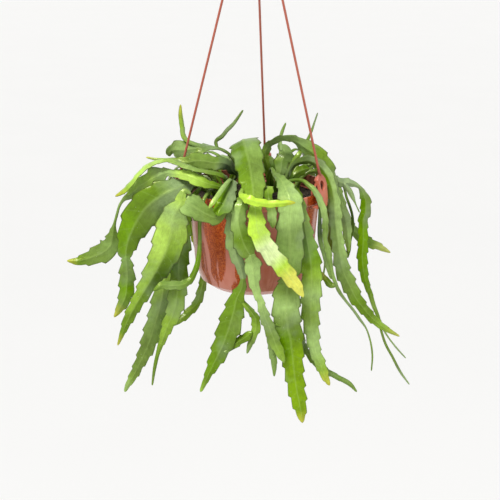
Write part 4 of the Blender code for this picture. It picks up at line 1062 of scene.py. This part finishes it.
def placed(azimuth, radius, offset, height):
    """A point at this azimuth, this far from the pot's axis, moved along the rim and lifted."""
    turn = math.radians(azimuth)
    outward = np.array((math.cos(turn), math.sin(turn), 0.0))
    across = np.array((-math.sin(turn), math.cos(turn), 0.0))
    return outward * radius + across * offset + np.array((0.0, 0.0, height))


def clip_cutters(azimuth):
    """What is cut from a clip: the corners beside the strand, the inner leg's sides and an oval hole."""
    oval = []
    for x, y, _ in circle(1.0, 0.0, CLIP_HOLE_SIDES)[::-1]:
        offset = CLIP_HOLE_MIDDLE[0] + CLIP_HOLE_HALF[0] * x
        oval.append((offset, CLIP_HOLE_MIDDLE[1] + CLIP_HOLE_HALF[1] * y))
    shapes = [(oval, CLIP_CUT_END)]
    for corners, reach in ((CLIP_SHOULDER, CLIP_CUT_END), (CLIP_INNER_SIDE, CLIP_INNER_REACH)):
        shapes += [(corners, reach), ([(-offset, height) for offset, height in corners[::-1]], reach)]
    cutters = []
    for corners, reach in shapes:
        ends = []
        for radius in (CLIP_CUT_START, reach):
            ends.append([placed(azimuth, radius, *corner) for corner in corners])
        cutters.append(mesh_object("clip_cutter", *skinned(ends)))
    return cutters


def make_clip(azimuth):
    """The strap that straddles the rim at the foot of a strand, with its edges rounded."""
    inside = COLLAR_INSIDE - CLIP_INNER_GAP
    under = -COLLAR_HEIGHT - 3 * FIT_GAP
    outline = [
        (inside - 1.8, -7.2), (inside, -7.6), (inside, 2.0), (inside + 1.6, 9.6), (81.6, 16.8),
        (85.0, 10.4), (86.6, -4.0), (86.0, under), (COLLAR_RADIUS - 1.2, under),
        (COLLAR_RADIUS - 1.2, under - 1.8), (87.2, under - 2.6), (88.8, under - 0.6), (89.2, -4.0),
        (87.6, 11.4), (84.6, 19.8), (STRAND_FOOT[0], STRAND_FOOT[1] + 1.6), (80.6, 19.6),
        (inside - 0.6, 11.2), (inside - 2.2, 2.0),
    ]
    ends = []
    for offset in (-CLIP_WIDTH / 2, CLIP_WIDTH / 2):
        ends.append([placed(azimuth, radius, offset, height) for radius, height in outline])
    clip = mesh_object("clip", *skinned(ends))
    cut(clip, clip_cutters(azimuth))
    return bevelled(clip, CLIP_EDGE)


def make_hook():
    """A bar bent into a hook with a rounded end: up from the hub, then round an open bend."""
    centre = HOOK_SEAT - HOOK_BEND_RADIUS + HOOK_WIRE_RADIUS
    foot, bend = HUB_TOP - 2.0, centre - HOOK_BEND_RADIUS - 1.0
    path = [(0.0, 0.0, foot + (bend - foot) * k / 6) for k in range(7)]
    for angle in np.radians(np.linspace(*HOOK_ANGLES, HOOK_STEPS + 1)):
        path.append((HOOK_BEND_RADIUS * math.cos(angle), 0.0, centre + HOOK_BEND_RADIUS * math.sin(angle)))
    shares = [1.0] * (len(path) - len(HOOK_TIP)) + [*HOOK_TIP]
    return swept("hook_bar", path, [HOOK_WIRE_RADIUS * share for share in shares], HOOK_SIDES)


def make_hanger():
    """Three thin strands with their clips, and the hub and hook that hold them."""
    profile = [
        (0.0, HUB_BOTTOM), (HUB_RADIUS - 1.5, HUB_BOTTOM), (HUB_RADIUS, HUB_BOTTOM + 1.5),
        (HUB_RADIUS, HUB_TOP - 5.0), (HUB_NECK, HUB_TOP), (0.0, HUB_TOP),
    ]
    hanger = bevelled(turned("hanger_moulded", profile, HUB_SIDES), HUB_EDGE)
    pieces = [make_hook()]
    shares = np.linspace(0.0, 1.0, STRAND_POINTS)
    radii = STRAND_RADIUS + STRAND_FLARE * (np.exp(-shares * 40.0) + np.exp(-(1.0 - shares) * 40.0))
    for azimuth in STRAND_AZIMUTHS:
        foot, top = (placed(azimuth, radius, 0.0, height) for radius, height in (STRAND_FOOT, STRAND_TOP))
        path = [foot + (top - foot) * share for share in shares]
        pieces += [swept("strand", path, radii, STRAND_SIDES), make_clip(azimuth)]
    return join_objects(hanger, pieces)


def area_light(name, place, size, power):
    light = bpy.data.lights.new(name, "AREA")
    apply_settings(light, {"shape": "DISK", "size": size, "energy": power, "color": (1.0, 1.0, 1.0)})
    thing = added(name, light)
    thing.location = place
    thing.rotation_euler = (LIGHT_TARGET - Vector(place)).to_track_quat("-Z", "Y").to_euler()


def make_sun():
    light = bpy.data.lights.new("sun", "SUN")
    apply_settings(light, {"energy": SUN_POWER, "angle": SUN_SPREAD, "color": (1.0, 0.985, 0.96)})
    level = math.cos(SUN_ELEVATION)
    towards = (level * math.cos(SUN_AZIMUTH), level * math.sin(SUN_AZIMUTH), math.sin(SUN_ELEVATION))
    added("sun", light).rotation_euler = Vector(towards).to_track_quat("Z", "Y").to_euler()


def make_surround():
    """White light from all sides, bright near the horizon and dim overhead."""
    world = bpy.data.worlds.new("surround")
    world.use_nodes = True
    nodes = world.node_tree.nodes
    height = parts(nodes.new("ShaderNodeTexCoord").outputs["Generated"])[2]
    strength = between(height, 0.28, 0.72, HORIZON_STRENGTH, OVERHEAD_STRENGTH)
    fill(nodes["Background"], {"Color": (1.0, 1.0, 1.0, 1.0), "Strength": strength})
    bpy.context.scene.world = world


def make_studio():
    """A wide pale floor well below the plant, a bright surround, a sun and two soft lights."""
    mesh = bpy.data.meshes.new("floor")
    corners = ((-1, -1), (1, -1), (1, 1), (-1, 1))
    points = [(x * FLOOR_HALF, y * FLOOR_HALF, FLOOR_HEIGHT) for x, y in corners]
    mesh.from_pydata(points, [], [(0, 1, 2, 3)])
    mesh.materials.append(floor_material())
    added("floor", mesh)
    make_surround()
    make_sun()
    area_light("top", (-0.35, -0.45, 0.75), 0.6, TOP_POWER)
    area_light("side", (1.3, -0.8, 0.2), 1.0, SIDE_POWER)


def make_camera():
    camera = bpy.data.cameras.new("camera")
    camera.sensor_width = SENSOR_WIDTH
    camera.lens = FOCAL_PIXELS / PHOTO_SIZE * SENSOR_WIDTH
    thing = added("camera", camera)
    thing.location = ((EYE[0] - AXIS_OFFSET) * MM, EYE[1] * MM, (EYE[2] - HOOK_SEAT) * MM)
    thing.rotation_euler = (math.pi / 2 - CAMERA_DOWN, 0.0, 0.0)
    bpy.context.scene.camera = thing


def stand_in(piece, finish, node):
    """The piece takes the place of a node of the frame and moves with it."""
    piece.data.materials.clear()
    piece.data.materials.append(finish)
    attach(piece, "root")
    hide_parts(node)


def main():
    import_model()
    make_camera()
    skin = stem_material()
    stand_in(make_pot(), pot_material(), "pot")
    stand_in(make_hanger(), hanger_material(), "hanger")
    stand_in(make_soil(), soil_material(), "potting_soil")
    shoots = {}
    for number, (name, (root, blades)) in enumerate(SHOOTS.items()):
        shoots[name] = shoot_meshes(root, blades, 1.0 + number)
    for number, shape in enumerate(REAR_SHOOTS):
        names = REAR_GREENS[number % len(REAR_GREENS)]
        shoots[f"stem_back_{number + 1}"] = [blade_mesh(smooth(spilling(*shape)), names, 30.0 + number)]
    for name, meshes in shoots.items():
        stand_in(joined(name + "_living", meshes), skin, name)
    make_studio()
    bpy.context.scene.view_settings.view_transform = "Standard"


main()
